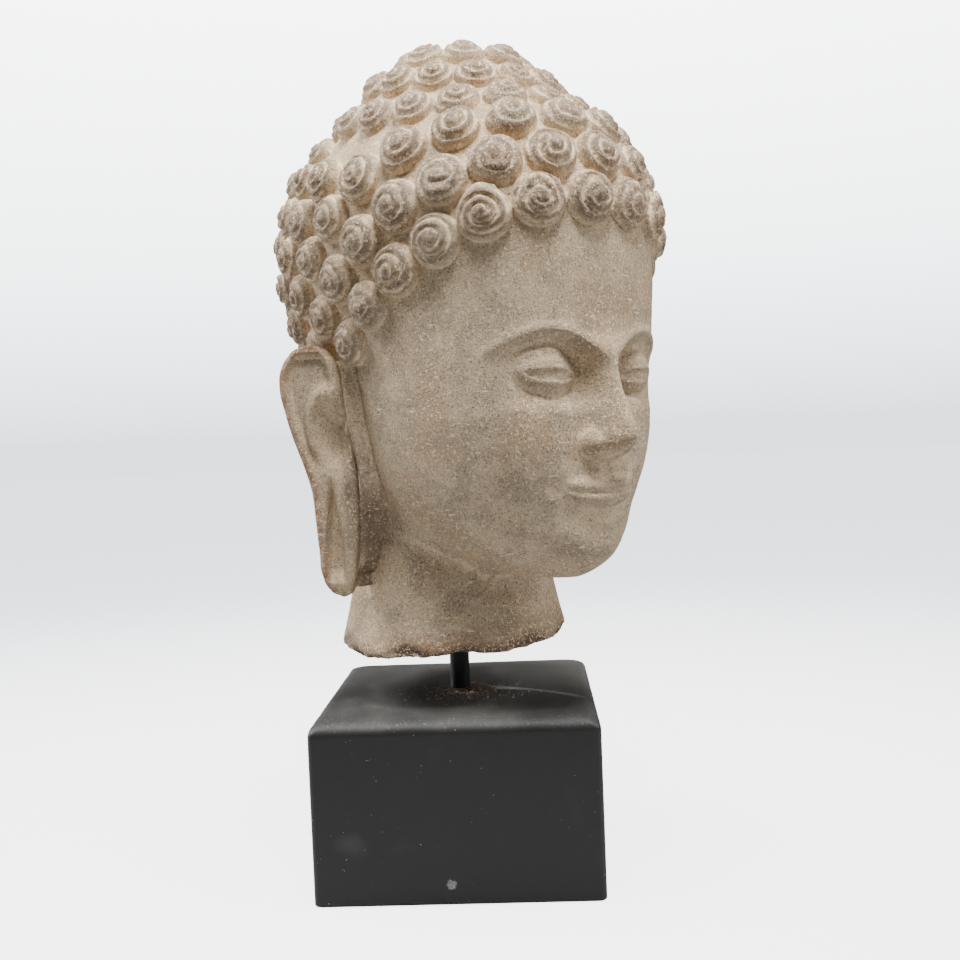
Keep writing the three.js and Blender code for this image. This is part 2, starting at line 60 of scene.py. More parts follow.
def in_scene(name, data):
    """New object in the scene, at the origin."""
    made = bpy.data.objects.new(name, data)
    bpy.context.scene.collection.objects.link(made)
    return made


def set_camera():
    """Eye 0.26 m over the table and 0.69 m in front of the rod, turned, tipped down and leaning to one
    side by a little over two degrees each."""
    turn, down, lean = (math.radians(angle) for angle in (EYE_TURN, EYE_DOWN, EYE_LEAN))
    ahead = Vector((math.sin(turn) * math.cos(down), math.cos(turn) * math.cos(down), -math.sin(down)))
    right = Vector((math.cos(turn), -math.sin(turn), 0))
    up = right.cross(ahead)
    right, up = (math.cos(lean) * right + math.sin(lean) * up, math.cos(lean) * up - math.sin(lean) * right)
    eye = Vector((ROD_MIDDLE[0] + EYE_RIGHT, ROD_MIDDLE[1] - EYE_BACK, TABLE + EYE_UP))
    lens = bpy.data.cameras.new("eye")
    lens.sensor_width, lens.lens = SENSOR_MM, LENS_MM
    camera = in_scene("eye", lens)
    camera.matrix_world = Matrix((
        (right.x, up.x, -ahead.x, eye.x),
        (right.y, up.y, -ahead.y, eye.y),
        (right.z, up.z, -ahead.z, eye.z),
        (0, 0, 0, 1)))
    bpy.context.scene.camera = camera


# ---- measures of the head, in millimetres, x and y from the rod, z from the table -------
HEAD_TURN = math.radians(40)
HEAD_COS, HEAD_SIN = math.cos(HEAD_TURN), math.sin(HEAD_TURN)
CHIN_Z, HAIR_Z = 187.0, 364.0
THIRD = (HAIR_Z - CHIN_Z) / 3
NOSE_Z, BROW_Z = CHIN_Z + THIRD, CHIN_Z + 2 * THIRD
EYE_Z, MOUTH_Z = BROW_Z - 16, NOSE_Z - THIRD / 3
EYE_X, EYE_HALF, MOUTH_HALF = 31.0, 15.5, 27.5
FACE_Y, FACE_BACK, FACE_TOP_Z, FACE_POWER = -40.0, 60.0, 374.0, 2.35
HEART = np.array([0.0, -18.0, 312.0])
SKULL_Y, SKULL_Z, SKULL_ACROSS, SKULL_ALONG, SKULL_UP, SKULL_DOWN = -17.0, 372.0, 91.5, 123.5, 85.0, 122.0
KNOT_Y, KNOT_Z, KNOT_ACROSS, KNOT_ALONG, KNOT_TALL = -22.0, 416.0, 65.0, 67.0, 63.5
NECK_Y, NECK_TOP_Z, FOOT_Z = 3.0, 290.0, 136.5
KNOT_BLEND, FACE_BLEND, NECK_BLEND = 16, 14, 12
CURL_TALL, CURL_R, CURL_GAP, HAIR_ROWS = 10.5, 14.2, 28.5, 8
CURL_PITCH = 0.34
KNOT_AXIS_Y, KNOT_BASE_R, KNOT_FOOT_Z = -30.0, 85.0, 395
KNOT_RINGS = ((440, 71, 17, 0.03), (459, 53, 14, 0.75), (472, 31, 8, 0.1), (482, 0, 1, 0))
EAR_TOP, EAR_FOOT, EAR_ROOT_Y = 311.5, 169.5, -16.0
EAR_TURN = math.radians(40)
EAR_COS, EAR_SIN = math.cos(EAR_TURN), math.sin(EAR_TURN)
STONE_COLUMNS, STONE_ROWS, FOOT_ROWS = 500, 250, 34
HAIR_COLUMNS, HAIR_ROWS_OUT, HAIR_ROWS_IN, HAIR_WALL = 1000, 400, 24, 6.0
EAR_GRID, WEB_GRID = (220, 84, 24), (50, 60)
ROD_SIDES, MOST_TRIANGLES = 48, 190000


# ---- small helpers ------------------------------------------------------------------
def bump(t):
    """(1 - t^2)^2 inside |t| < 1, and 0 outside."""
    return (1 - np.minimum(t * t, 1)) ** 2


def ramp(t, a, b):
    """Smooth step: 0 at a, 1 at b, 3s^2 - 2s^3 between."""
    s = np.clip((t - a) / (b - a), 0, 1)
    return s * s * (3 - 2 * s)


def bell(t):
    """exp(-t^2)."""
    return np.exp(-t * t)


def chance(i, k):
    """Fraction between 0 and 1 that looks random but depends only on i and k."""
    return (np.sin(i * 127.1 + k * 311.7) * 43758.5453) % 1.0


def curve_through(*points):
    """Cubic between neighbouring (at, value) points, its slope at each point from both neighbours."""
    at, value = np.array(points, float).T
    slope = np.gradient(value, at)

    def curve(t):
        t = np.clip(t, at[0], at[-1])
        i = np.clip(np.searchsorted(at, t) - 1, 0, len(at) - 2)
        w = at[i + 1] - at[i]
        s = (t - at[i]) / w
        return (value[i] * (1 + 2 * s) * (1 - s) ** 2 + value[i + 1] * s * s * (3 - 2 * s)
                + slope[i] * w * s * (1 - s) ** 2 - slope[i + 1] * w * s * s * (1 - s))
    return curve


def smooth_union(a, b, k):
    """Lower of a and b, rounded over where they are within k of each other."""
    h = np.clip(0.5 + 0.5 * (b - a) / k, 0, 1)
    return b * (1 - h) + a * h - k * h * (1 - h)


def unit(v):
    """Each vector over its length."""
    return v / np.linalg.norm(v, axis=-1, keepdims=True)


def noise(p, size, seed=0):
    """Value noise, -1 to 1: a hash at each corner of a lattice of the given size, blended smoothly."""
    q = p / size + seed * 17.3
    cell = np.floor(q).astype(np.int64)
    f = q - cell
    f = f * f * (3 - 2 * f)
    total = np.zeros(len(p))
    for corner in ((i, j, k) for i in (0, 1) for j in (0, 1) for k in (0, 1)):
        c = cell + corner
        h = (c[:, 0] * 73856093 ^ c[:, 1] * 19349663 ^ c[:, 2] * 83492791) & 0xFFFFF
        h = (h * (h * 15731 + 789221) + 1376312589 & 0xFFFFF) / 0xFFFFF
        total += h * np.prod(np.where(corner, f, 1 - f), axis=1)
    return total * 2 - 1


def round_angles(n):
    """n even angles of a full turn, from 0."""
    return np.arange(n) * 2 * np.pi / n


def rays_at(azimuth, e):
    """Unit rays at an azimuth, round from +X, and an elevation."""
    return np.stack([np.cos(e) * np.cos(azimuth), np.cos(e) * np.sin(azimuth), np.sin(e)], -1)


def over_grid(make, rays, *more):
    """What make gives for a list of rays, for a whole grid of them."""
    return make(rays.reshape(-1, 3), *more).reshape(rays.shape)


# ---- smooth form of the head: skull, knot of hair, face and neck --------------------------
face_half_width = curve_through((178, 16), (184, 24), (192, 36), (203, 49), (216, 59), (232, 67),
                                (252, 73), (275, 77), (300, 79), (330, 79), (360, 76))
face_front = curve_through((176, 58), (182, 75), (190, 86), (201, 90), (215, 90), (232, 92),
                           (252, 94), (275, 96), (300, 98), (325, 99.5), (350, 98.5), (372, 92))
neck_radius = curve_through((120, 73), (135, 69.5), (155, 64.5), (180, 60), (215, 58), (260, 60))


def underside(x, y):
    """Height of the broken foot of the neck: a slight slope with long shallow waves."""
    return (FOOT_Z + 0.055 * x + 2 * np.sin(x / 15 + 1.3) * np.cos(y / 17 - 0.4)
            + 0.8 * np.sin(x / 8 - y / 9))


def body(x, y, z):
    """Below 0 inside. Two ellipsoids, a face column whose level sections are half superellipses and a
    round neck, joined by smooth unions, and cut off at the underside."""
    up = np.where(z > SKULL_Z, SKULL_UP, SKULL_DOWN)
    skull = np.sqrt((x / SKULL_ACROSS) ** 2 + ((y - SKULL_Y) / SKULL_ALONG) ** 2
                    + ((z - SKULL_Z) / up) ** 2)
    knot = np.sqrt((x / KNOT_ACROSS) ** 2 + ((y - KNOT_Y) / KNOT_ALONG) ** 2
                   + ((z - KNOT_Z) / KNOT_TALL) ** 2)
    w, d = face_half_width(z), face_front(z)
    deep = np.where(y < FACE_Y, d, FACE_BACK)
    ring = (np.abs(x / w) ** FACE_POWER + np.abs((y - FACE_Y) / deep) ** FACE_POWER) ** (1 / FACE_POWER)
    face = np.maximum((ring - 1) * 0.5 * (w + d), np.maximum(CHIN_Z - 7 - z, z - FACE_TOP_Z))
    neck = np.maximum(np.hypot(x, y - NECK_Y) - neck_radius(z), z - NECK_TOP_Z)
    whole = smooth_union((skull - 1) * 100, (knot - 1) * 66, KNOT_BLEND)
    whole = smooth_union(smooth_union(whole, face, FACE_BLEND), neck, NECK_BLEND)
    return np.maximum(whole, underside(x, y) - z)


def shell(rays):
    """Where each unit ray from the heart of the head leaves the body, by halving the distance."""
    low, high = np.full(len(rays), 20.0), np.full(len(rays), 225.0)
    for _ in range(17):
        middle = (low + high) / 2
        inside = body(*(HEART + rays * middle[:, None]).T) < 0
        low, high = np.where(inside, middle, low), np.where(inside, high, middle)
    return HEART + rays * ((low + high) / 2)[:, None]


def normals_at(p, e=0.5):
    """Unit slope of body, from differences over 2e along each axis."""
    x, y, z = p.T
    return unit(np.stack([body(x + e, y, z) - body(x - e, y, z), body(x, y + e, z) - body(x, y - e, z),
                          body(x, y, z + e) - body(x, y, z - e)], 1))


def foot_elevation(azimuth):
    """Elevation, from the heart, of the edge where the neck's wall meets its underside."""
    c, s = np.cos(azimuth), np.sin(azimuth)
    r = np.full_like(azimuth, 68.0)
    for _ in range(12):
        z = underside(r * c, HEART[1] + r * s)
        r = r + neck_radius(z) - np.hypot(r * c, HEART[1] + r * s - NECK_Y)
    return np.arctan2(underside(r * c, HEART[1] + r * s) - HEART[2], r)


# ---- hair ---------------------------------------------------------------------------
first_row = curve_through((0, 376), (20, 373), (32, 367), (45, 356), (59, 343), (71, 329),
                          (87, 309), (105, 290), (125, 276), (150, 262), (180, 256))
row_gap = curve_through((0, 25), (25, 25.5), (50, 30), (75, 34), (100, 33), (130, 29.5), (180, 27.5))
ROW_START = (-0.38, 0.08, 0.75, 0.2, 0.7, 0.2, 0.6, 0.1)


def between(t, along, line):
    """Point at distance t along a polyline."""
    return np.array([np.interp(t, along, line[:, k]) for k in range(3)])


def find_seats():
    """Middles of the curls: rows above the hairline an even distance apart over the scalp, evenly
    spaced curls along each row, and level rings of curls up the knot."""
    degrees = np.arange(0, 360, 3.0)
    turned = np.minimum(degrees, 360 - degrees)
    a, e = np.meshgrid(np.radians(degrees), np.radians(np.arange(-40, 90.1, 1.5)), indexing="ij")
    rays = np.stack([np.sin(a) * np.cos(e), -np.cos(a) * np.cos(e), np.sin(e)], -1)
    climb = over_grid(shell, rays)
    along = np.zeros(a.shape)
    along[:, 1:] = np.cumsum(np.linalg.norm(np.diff(climb, axis=1), axis=2), axis=1)
    start = [np.interp(first_row(t), climb[i, :, 2], along[i]) for i, t in enumerate(turned)]
    seats = []
    for row in range(HAIR_ROWS):
        line = np.array([between(start[i] + row * row_gap(t), along[i], climb[i])
                         for i, t in enumerate(turned)])
        line = np.concatenate([line, line[:1]])
        round_it = np.concatenate([[0], np.cumsum(np.linalg.norm(np.diff(line, axis=0), axis=1))])
        count = int(round(round_it[-1] / CURL_GAP))
        if count < 3:
            break
        for j in range(count):
            c = between((j + ROW_START[row]) / count % 1 * round_it[-1], round_it, line)
            out = math.hypot(c[0], c[1] - KNOT_AXIS_Y)
            on_knot = c[2] > KNOT_FOOT_Z and out < KNOT_BASE_R - max(0, KNOT_RINGS[0][0] - c[2]) * 0.35
            by_ear = row == 0 and abs(c[1] - EAR_ROOT_Y) < 14 and c[2] < 305
            if not on_knot and not by_ear:
                seats.append([*c, CURL_R if row < 3 else CURL_R - 0.6, CURL_TALL])
    for z, r, count, turn in KNOT_RINGS:
        for j in range(count):
            t = 2 * math.pi * (j + turn) / count
            seats.append([r * math.sin(t), KNOT_AXIS_Y - r * math.cos(t), z, CURL_R - 2, CURL_TALL * 0.82])
    seats = np.array(seats)
    seats[:, :3] = shell(unit(seats[:, :3] - HEART))
    apart = np.linalg.norm(seats[:, None, :3] - seats[None, :, :3], axis=2) + 999 * np.eye(len(seats))
    seats[:, 3] = np.minimum(seats[:, 3], 0.51 * apart.min(1))
    seats[:, 4] *= 0.9 + 0.18 * chance(np.arange(len(seats)), 1)
    return seats


def curl_height(t, angle, deep):
    """Snail shell: a steep skirt 0.46 (1 - t^7)^0.5 with a blunt cone 0.54 (1 - t^1.7)^0.9 on it, cut by
    a groove that winds in along t = pitch * angle and leaves a knob. t is distance over radius."""
    t = np.clip(t, 0, 1)
    dome = 0.46 * (1 - t ** 7) ** 0.5 + 0.54 * (1 - t ** 1.7) ** 0.9
    turn = (t / CURL_PITCH - angle / (2 * np.pi)) % 1.0
    groove = bell((turn - 0.5) / 0.17) + 0.4 * ramp(turn, 0.5, 0.62) * (1 - ramp(turn, 0.62, 1.0))
    ends = ramp(t, 0.10, 0.24) * (1 - ramp(t, 0.80, 0.97))
    return dome - deep * 0.19 * groove * (0.6 + 0.55 * t) * ends


def hair(p, seats):
    """For each point: height that the curls stand off, distance from the nearest curl's middle over its
    radius, how far down in a spiral groove it lies, and how closely curls stand round it."""
    up = normals_at(seats[:, :3])
    side = np.where(np.abs(up[:, 2:]) > 0.98, [[1.0, 0, 0]], np.cross(up, [0, 0, 1.0]) + 1e-9)
    side = unit(side)
    over = np.cross(up, side)
    index = np.arange(len(seats))
    spin, deep = 2 * np.pi * chance(index, 2), 0.45 + 0.85 * chance(index, 3)
    lift, groove, crowd = np.zeros((3, len(p)))
    nearest = np.full(len(p), 9.0)
    order = np.argsort(p[:, 2])
    level = p[order, 2]
    for i, (x, y, z, r, tall) in enumerate(seats):
        a, b = np.searchsorted(level, [z - 2 * r, z + 2 * r])
        near = order[a:b]
        v = p[near] - (x, y, z)
        close = np.abs(v).max(1) < 2 * r
        near, v = near[close], v[close]
        crowd[near] += bump(np.linalg.norm(v, axis=1) / (2 * r))
        u, w = v @ side[i], v @ over[i]
        wobble = 1 + 0.035 * np.sin(3 * np.arctan2(w, u) + spin[i] * 3) * chance(i, 4)
        t = np.hypot(u, w) / r * wobble
        inside = (t < nearest[near]) & (np.abs(v @ up[i]) < r)
        near, t = near[inside], t[inside]
        angle = np.arctan2(w[inside], u[inside]) + spin[i]
        height = curl_height(t, angle, deep[i]) * tall
        plain = curl_height(t, angle, 0.0) * tall
        lift[near] = np.where(t < 1, np.maximum(height, 0), 0)
        groove[near] = np.where(t < 1, (plain - height) / 1.5, 0)
        nearest[near] = t
    return lift, nearest, groove, crowd


# ---- face: how far each point is brought forward --------------------------------------
brow_line = curve_through((0, BROW_Z - 9), (8, BROW_Z - 5), (20, BROW_Z + 2), (34, BROW_Z + 5),
                          (48, BROW_Z + 2), (60, BROW_Z - 6), (70, BROW_Z - 16))
nose_rise = curve_through(*((NOSE_Z + z, v) for z, v in (
    (-8, 0), (-4, 0.5), (0, 9), (3, 18), (7, 22.5), (12, 22), (22, 17.5), (35, 12), (45, 8.5),
    (54, 6), (62, 2), (72, 0))))
nose_wide = curve_through(*((NOSE_Z + z, v) for z, v in (
    (-4, 9.5), (6, 10.5), (14, 9), (24, 8), (40, 7.5), (52, 9.5), (62, 14))))


def brows(x, z):
    """A thin ridge along the brow line, and under it a hollow deepest beside the nose."""
    under = brow_line(x) - z
    hollow = 8.5 * bump((x - 15) / 17) + 5 * bump((x - 36) / 27)
    return (1.6 * bell(under / 3.2) * (1 - ramp(x, 52, 68)) * ramp(x, 3, 12)
            - hollow * ramp(under, 0, 9) * (1 - ramp(z, EYE_Z - 8, EYE_Z - 22)))


def eyes(x, z):
    """Half an ellipsoid, with a lens-shaped opening between two lids, their rims and a crease above."""
    u = (x - EYE_X) / EYE_HALF
    tilt = z - EYE_Z - 1.2 * u
    arch = np.clip(1 - u * u, 0, 1)
    top, low = -1.2 + 2.2 * arch, -1.2 - 4 * arch
    opening = ramp(tilt, low, low + 0.9) * (1 - ramp(tilt, top - 0.9, top)) * (np.abs(u) < 1)
    crease = 1 + 7.2 * np.clip(1 - (u / 1.15) ** 2, 0, 1)
    return (6.2 * np.sqrt(np.clip(1 - (u / 1.12) ** 2 - (tilt / 12.5) ** 2, 0, 1)) - 1.5 * opening
            + 0.8 * bell((tilt - top - 0.8) / 1.1) * ramp(1.12 - np.abs(u), 0, 0.15)
            + 0.6 * bell((tilt - low + 0.9) / 1.1) * ramp(1.1 - np.abs(u), 0, 0.15)
            - 0.9 * bell((tilt - crease) / 1.2) * ramp(1.15 - np.abs(u), 0, 0.2))


def mouth(x, z):
    """Two lips, each falling off as a power of the height from the line between them, which rises
    as the square of the distance to the corners; corner dimples, and a groove up to the nose."""
    m = x / MOUTH_HALF
    d = z - MOUTH_Z - 3 * np.clip(m, 0, 1.2) ** 2
    left = np.clip(1 - m * m, 0, 1)
    upper = np.maximum(7.4 * left ** 0.7 - 1.1 * bump(x / 5), 0.1)
    lower = np.maximum(9 * left ** 0.8, 0.1)
    lip = np.where(d >= 0, 4.6 * (1 - np.clip(d / upper, 0, 1) ** 2.2) ** 0.75,
                   5.4 * (1 - np.clip(-d / lower, 0, 1) ** 2) ** 0.7)
    return (4.5 * bump(x / 40) * bump((z - MOUTH_Z) / 22) + lip * np.sqrt(left)
            - 3.2 * bell(d / 1.5) * ramp(1.05 - m, 0, 0.3)
            - 2.2 * bump((x - 29.5) / 7) * bump((z - MOUTH_Z - 3.5) / 7)
            - 1.3 * bump(x / 5) * ramp(z, MOUTH_Z + 6, MOUTH_Z + 9)
            * (1 - ramp(z, NOSE_Z - 5, NOSE_Z - 1)))


def face_relief(x, z):
    """Sum of brows, eyes, nose, cheeks, mouth and chin, the same on both sides."""
    x = np.abs(x)
    out = brows(x, z) + eyes(x, z) + nose_rise(z) * np.exp(-(x / nose_wide(z)) ** 2.4)
    wing = np.clip(1 - ((x - 11.5) / 6.2) ** 2 - ((z - NOSE_Z - 5.5) / 8) ** 2, 0, 1) ** 0.6
    out = np.maximum(out, out * (1 - wing) + (3 + 8 * wing) * wing)
    out -= 5 * bump((x - 6.6) / 4.2) * bump((z - NOSE_Z - 0.5) / 3.6)
    out += 3.2 * bump((x - 42) / 34) * bump((z - NOSE_Z - 8) / 38)
    out += mouth(x, z) - 2.6 * bump(x / 26) * bump((z - MOUTH_Z + 13) / 6.5)
    return out + 4.2 * bell(x / 15) * bell((z - CHIN_Z - 12) / 9.5)


def unevenness(p):
    """Hand-worked surface: noise with lumps of 17, 6 and 2.6 mm."""
    return 0.30 * noise(p, 17, 1) + 0.16 * noise(p, 6, 2) + 0.07 * noise(p, 2.6, 3)


def ledge(p):
    """How far up from the foot the neck is broken away, in long uneven bites."""
    flat = p * [1, 1, 0.3]
    return np.clip(4 + 9 * noise(flat, 30, 4) + 3.5 * noise(flat, 9, 5) + 1.2 * noise(p, 3.5, 7), 0, 12)


def carve_stone(rays):
    """Body along each ray, brought forward by the face, with a hand-worked unevenness all over and
    slanting bites broken off round the foot of the neck."""
    p = shell(rays)
    n = normals_at(p)
    forward = face_relief(p[:, 0], p[:, 2]) * ramp(-n[:, 1], 0.05, 0.35) * (p[:, 1] < -60)
    rise = p[:, 2] - underside(p[:, 0], p[:, 1])
    above = np.clip(rise, 0, 99)
    from_edge = np.hypot(above, neck_radius(p[:, 2]) - np.hypot(p[:, 0], p[:, 1] - NECK_Y))
    bite = np.clip(ledge(p) - above, 0, 12)
    fresh = ramp(bite, 0, 1.5)
    rough = fresh * (0.6 * noise(p, 5, 6) + 0.35 * noise(p, 2.4, 13)) - 0.8 * bump(from_edge / 2.5)
    bite = 0.42 * bite * ramp(n[:, 2], -0.9, -0.5)
    p = p + n * (unevenness(p) + rough - bite)[:, None]
    p[:, 1] -= forward
    return p


def carve_curls(rays, seats):
    """Body along each ray, raised along its normal by the curls and sunk 1.4 mm between them, so that
    the stone shows there."""
    p = shell(rays)
    lift, nearest, _, _ = hair(p, seats)
    worn = 0.60 * noise(p, 6, 11) + 0.32 * noise(p, 2.3, 12)
    out = lift + unevenness(p) + worn * (nearest < 1) - 1.4 * ramp(nearest, 0.93, 1.06)
    return p + normals_at(p) * out[:, None]


# ---- ears ---------------------------------------------------------------------------
ear_outer = curve_through((169.5, 24), (171, 29), (174, 32.5), (182, 35), (196, 34.3), (214, 33),
                          (231, 32), (245, 34), (259, 37), (275, 39), (288, 39.5), (299, 36.5), (306, 31),
                          (310, 24.5), (311.5, 17))
ear_inner = curve_through((169.5, 24), (171, 20.5), (174, 18.5), (185, 14.5), (202, 10), (224, 6),
                          (241, 4), (258, 4), (275, 4), (290, 3), (299, 3.5), (306, 7), (310, 12),
                          (311.5, 17))
ear_thick = curve_through((169.5, 8), (176, 11), (200, 12), (240, 13), (280, 14), (300, 13), (311.5, 9))


def ear_carving(e, z):
    """Depth below the ear's front face at e out from the root: a cup inside the rim, a deep hollow
    under an arched ridge, a knob on the inner edge, and the slot down the lobe."""
    outer, inner = ear_outer(z), ear_inner(z)
    wall = np.minimum(np.minimum(outer - e, np.where(z > 271, e - inner, 99)), (EAR_TOP - z) * 0.9)
    deep = 4.4 * ramp(wall, 3.6, 7.2) * ramp(z, 234, 252)
    arch = np.hypot((e - 12.5) / 13.0, (z - 261) / 23.0)
    deep += 4.6 * (1 - ramp(arch, 0.30, 0.88))
    deep -= 3.4 * bump((arch - 1.02) / 0.34) * ramp(z, 240, 258)
    deep -= 3.2 * bump(np.hypot((e - 5.5) / 5.8, (z - 263) / 7.5))
    deep -= 2.6 * (1 - ramp(e - inner, 4.5, 8)) * ramp(z, 224, 238) * (1 - ramp(z, 260, 266))
    deep += 2.8 * bump((z - 273.5) / 4.5) * bump((e - 5) / 7)
    middle, half = 0.52 * outer + 0.48 * inner + 0.5, 1.7 + 3.8 * ramp(z, 232, 190)
    slot = (1 - ramp(np.abs(e - middle), half * 0.5, half * 1.25)) * ramp(z, 241, 228) * ramp(z, 177, 185)
    return np.maximum(deep, -2) + 6.0 * slot


def ear_root(z):
    """Distance out to the side, and y, of the ear's root at a height: a straight line leaning in."""
    return 84 - 18 * (300 - z) / 125, -18 - 4 * (300 - z) / 125


def ear_place(side, e, n, z):
    """Point e out from the ear's root and n towards the front, on a flange turned 40 degrees back."""
    x, y = ear_root(z)
    return np.stack([side * (x + e * EAR_SIN + n * EAR_COS), y + e * EAR_COS - n * EAR_SIN, z], -1)


def ear_points(side, rows, front, back):
    """Level loops from top to lobe: the carved front face out to the edge, then the plain back."""
    s = np.linspace(0, 1, rows + 2)[1:-1]
    z = EAR_TOP - (EAR_TOP - EAR_FOOT) * (0.45 * s + 0.55 * (1 - np.cos(np.pi * s)) / 2)
    s = np.linspace(0, 1, front)
    v = np.concatenate([0.5 * s + 0.25 * (1 - np.cos(np.pi * s)), np.linspace(1, 0, back + 2)[1:-1]])
    z, v = np.meshgrid(z, v, indexing="ij")
    facing = np.arange(front + back) < front
    outer, inner = ear_outer(z), ear_inner(z)
    e = inner + (outer - inner) * v
    full = np.clip(1 - np.abs(2 * v - 1) ** 5, 0, 1) ** 0.45
    half = ear_thick(z) / 2 * (0.25 + 0.75 * full)
    n = np.where(facing, half - ear_carving(e, z) * np.minimum(full * 1.2, 1), -half)
    p = ear_place(side, e, n, z)
    flat = p.reshape(-1, 3)
    p = p + (0.22 * noise(flat, 9, 8) + 0.12 * noise(flat, 3.5, 9)).reshape(*z.shape, 1)
    ends = ear_place(side, np.array([17.0, 24.0]), np.zeros(2), np.array([EAR_TOP, EAR_FOOT]))
    return p, ends


def web_points(side, rows, around):
    """Stone between ear and neck: level loops, each a rounded square stretched over four corners,
    two under the ear and two inside the neck."""
    z = np.linspace(302, 174, rows)
    tuck, high = 5 * ramp(z, 190, 174), ramp(z, 196, 236)
    near = ear_place(side, ear_inner(z) + 3 - 4 * high + tuck, -2 + 4.5 * high - 1.6 * tuck, z)
    far = ear_place(side, ear_outer(z) - 9 - tuck - 20 * high, -3 - high, z)

    def to_neck(p, distance):
        """Points moved level towards the middle of the neck."""
        return p + distance * unit(np.stack([-p[:, 0], NECK_Y - 58 * high - p[:, 1], 0 * z], -1))
    a = round_angles(around)
    u, v = ((1 + np.sign(f(a)) * np.sqrt(np.abs(f(a)))) / 2 for f in (np.cos, np.sin))
    p = (near[:, None] * ((1 - u) * (1 - v))[:, None] + far[:, None] * (u * (1 - v))[:, None]
         + to_neck(far, 40)[:, None] * (u * v)[:, None] + to_neck(near, 26)[:, None] * ((1 - u) * v)[:, None])
    return p, np.stack([p[0].mean(0), p[-1].mean(0)])


# ---- meshes -------------------------------------------------------------------------
def turned(p):
    """Turned with the head about the rod, and taken from millimetres to metres."""
    return np.stack([ROD_MIDDLE[0] + MM * (HEAD_COS * p[..., 0] - HEAD_SIN * p[..., 1]),
                     ROD_MIDDLE[1] + MM * (HEAD_SIN * p[..., 0] + HEAD_COS * p[..., 1]),
                     TABLE + MM * p[..., 2]], -1)


def closed_grid(name, loops, ends, flip=False):
    """Mesh over a grid of loops, each row joined to the next, with one point closing either end."""
    rows, n = loops.shape[:2]
    points = np.concatenate([ends[:1], loops.reshape(-1, 3), ends[1:]])
    grid = np.arange(rows * n).reshape(rows, n) + 1
    a, b = grid[:-1], np.roll(grid[:-1], -1, 1)
    c, d = np.roll(grid[1:], -1, 1), grid[1:]
    quads = np.stack([a, d, c, b], -1).reshape(-1, 4)
    first = np.stack([np.zeros(n, int), grid[0], np.roll(grid[0], -1)], -1)
    last = np.stack([np.full(n, rows * n + 1), np.roll(grid[-1], -1), grid[-1]], -1)
    if flip:
        quads, first, last = quads[:, ::-1], first[:, ::-1], last[:, ::-1]
    corners = np.concatenate([quads.ravel(), first.ravel(), last.ravel()]).astype(np.int32)
    sizes = np.concatenate([np.full(len(quads), 4), np.full(2 * n, 3)])
    mesh = bpy.data.meshes.new(name)
    mesh.vertices.add(len(points))
    mesh.vertices.foreach_set("co", points.astype(np.float32).ravel())
    mesh.loops.add(len(corners))
    mesh.loops.foreach_set("vertex_index", corners)
    mesh.polygons.add(len(sizes))
    mesh.polygons.foreach_set("loop_start", (np.cumsum(sizes) - sizes).astype(np.int32))
    mesh.update(calc_edges=True)
    mesh.polygons.foreach_set("use_smooth", np.ones(len(sizes), bool))
    return in_scene(name, mesh)


def level_loop(points, z):
    """Flat points, all at one height."""
    return np.column_stack([points, np.full(len(points), z)])


def keep_result(piece):
    """Replace a piece's mesh by what its modifiers make of it, and drop the modifiers."""
    finished = piece.evaluated_get(bpy.context.evaluated_depsgraph_get())
    done = bpy.data.meshes.new_from_object(finished)
    piece.modifiers.clear()
    old, piece.data = piece.data, done
    bpy.data.meshes.remove(old)
    done.name = piece.name
    done.polygons.foreach_set("use_smooth", np.ones(len(done.polygons), bool))


def even_rows(count, low, extra=None):
    """Shares of the way from the top of the head down to elevation low, spaced evenly over the surface,
    or closer together where extra, a function of height, is over 1."""
    azimuth = round_angles(16)
    share = np.linspace(0, 1, 500)[:, None]
    e = np.pi / 2 - share * (np.pi / 2 - low(azimuth))
    p = over_grid(shell, rays_at(azimuth, e))
    step = np.linalg.norm(np.diff(p, axis=0), axis=2).mean(1)
    if extra is not None:
        step = step * extra(p[1:, :, 2].mean(1))
    along = np.concatenate([[0], np.cumsum(step)])
    return np.interp(np.linspace(0, along[-1], count + 1)[1:], along, share[:, 0])


def rays_over(azimuth, low, shares):
    """Rays row by row: each row that share of the way from straight up down to elevation low."""
    return rays_at(azimuth, np.pi / 2 - shares[:, None] * (np.pi / 2 - low(azimuth)))


def hair_edge(azimuth):
    """Elevation of a line about 20 mm below the middles of the lowest row of curls."""
    turn = np.degrees(np.arccos(np.clip(-np.sin(azimuth), -1, 1)))
    z = first_row(turn) - 17
    e = np.zeros_like(azimuth)
    for _ in range(8):
        p = shell(rays_at(azimuth, e))
        e = e + np.clip((z - p[:, 2]) / 120, -0.3, 0.3)
    return e - 0.02


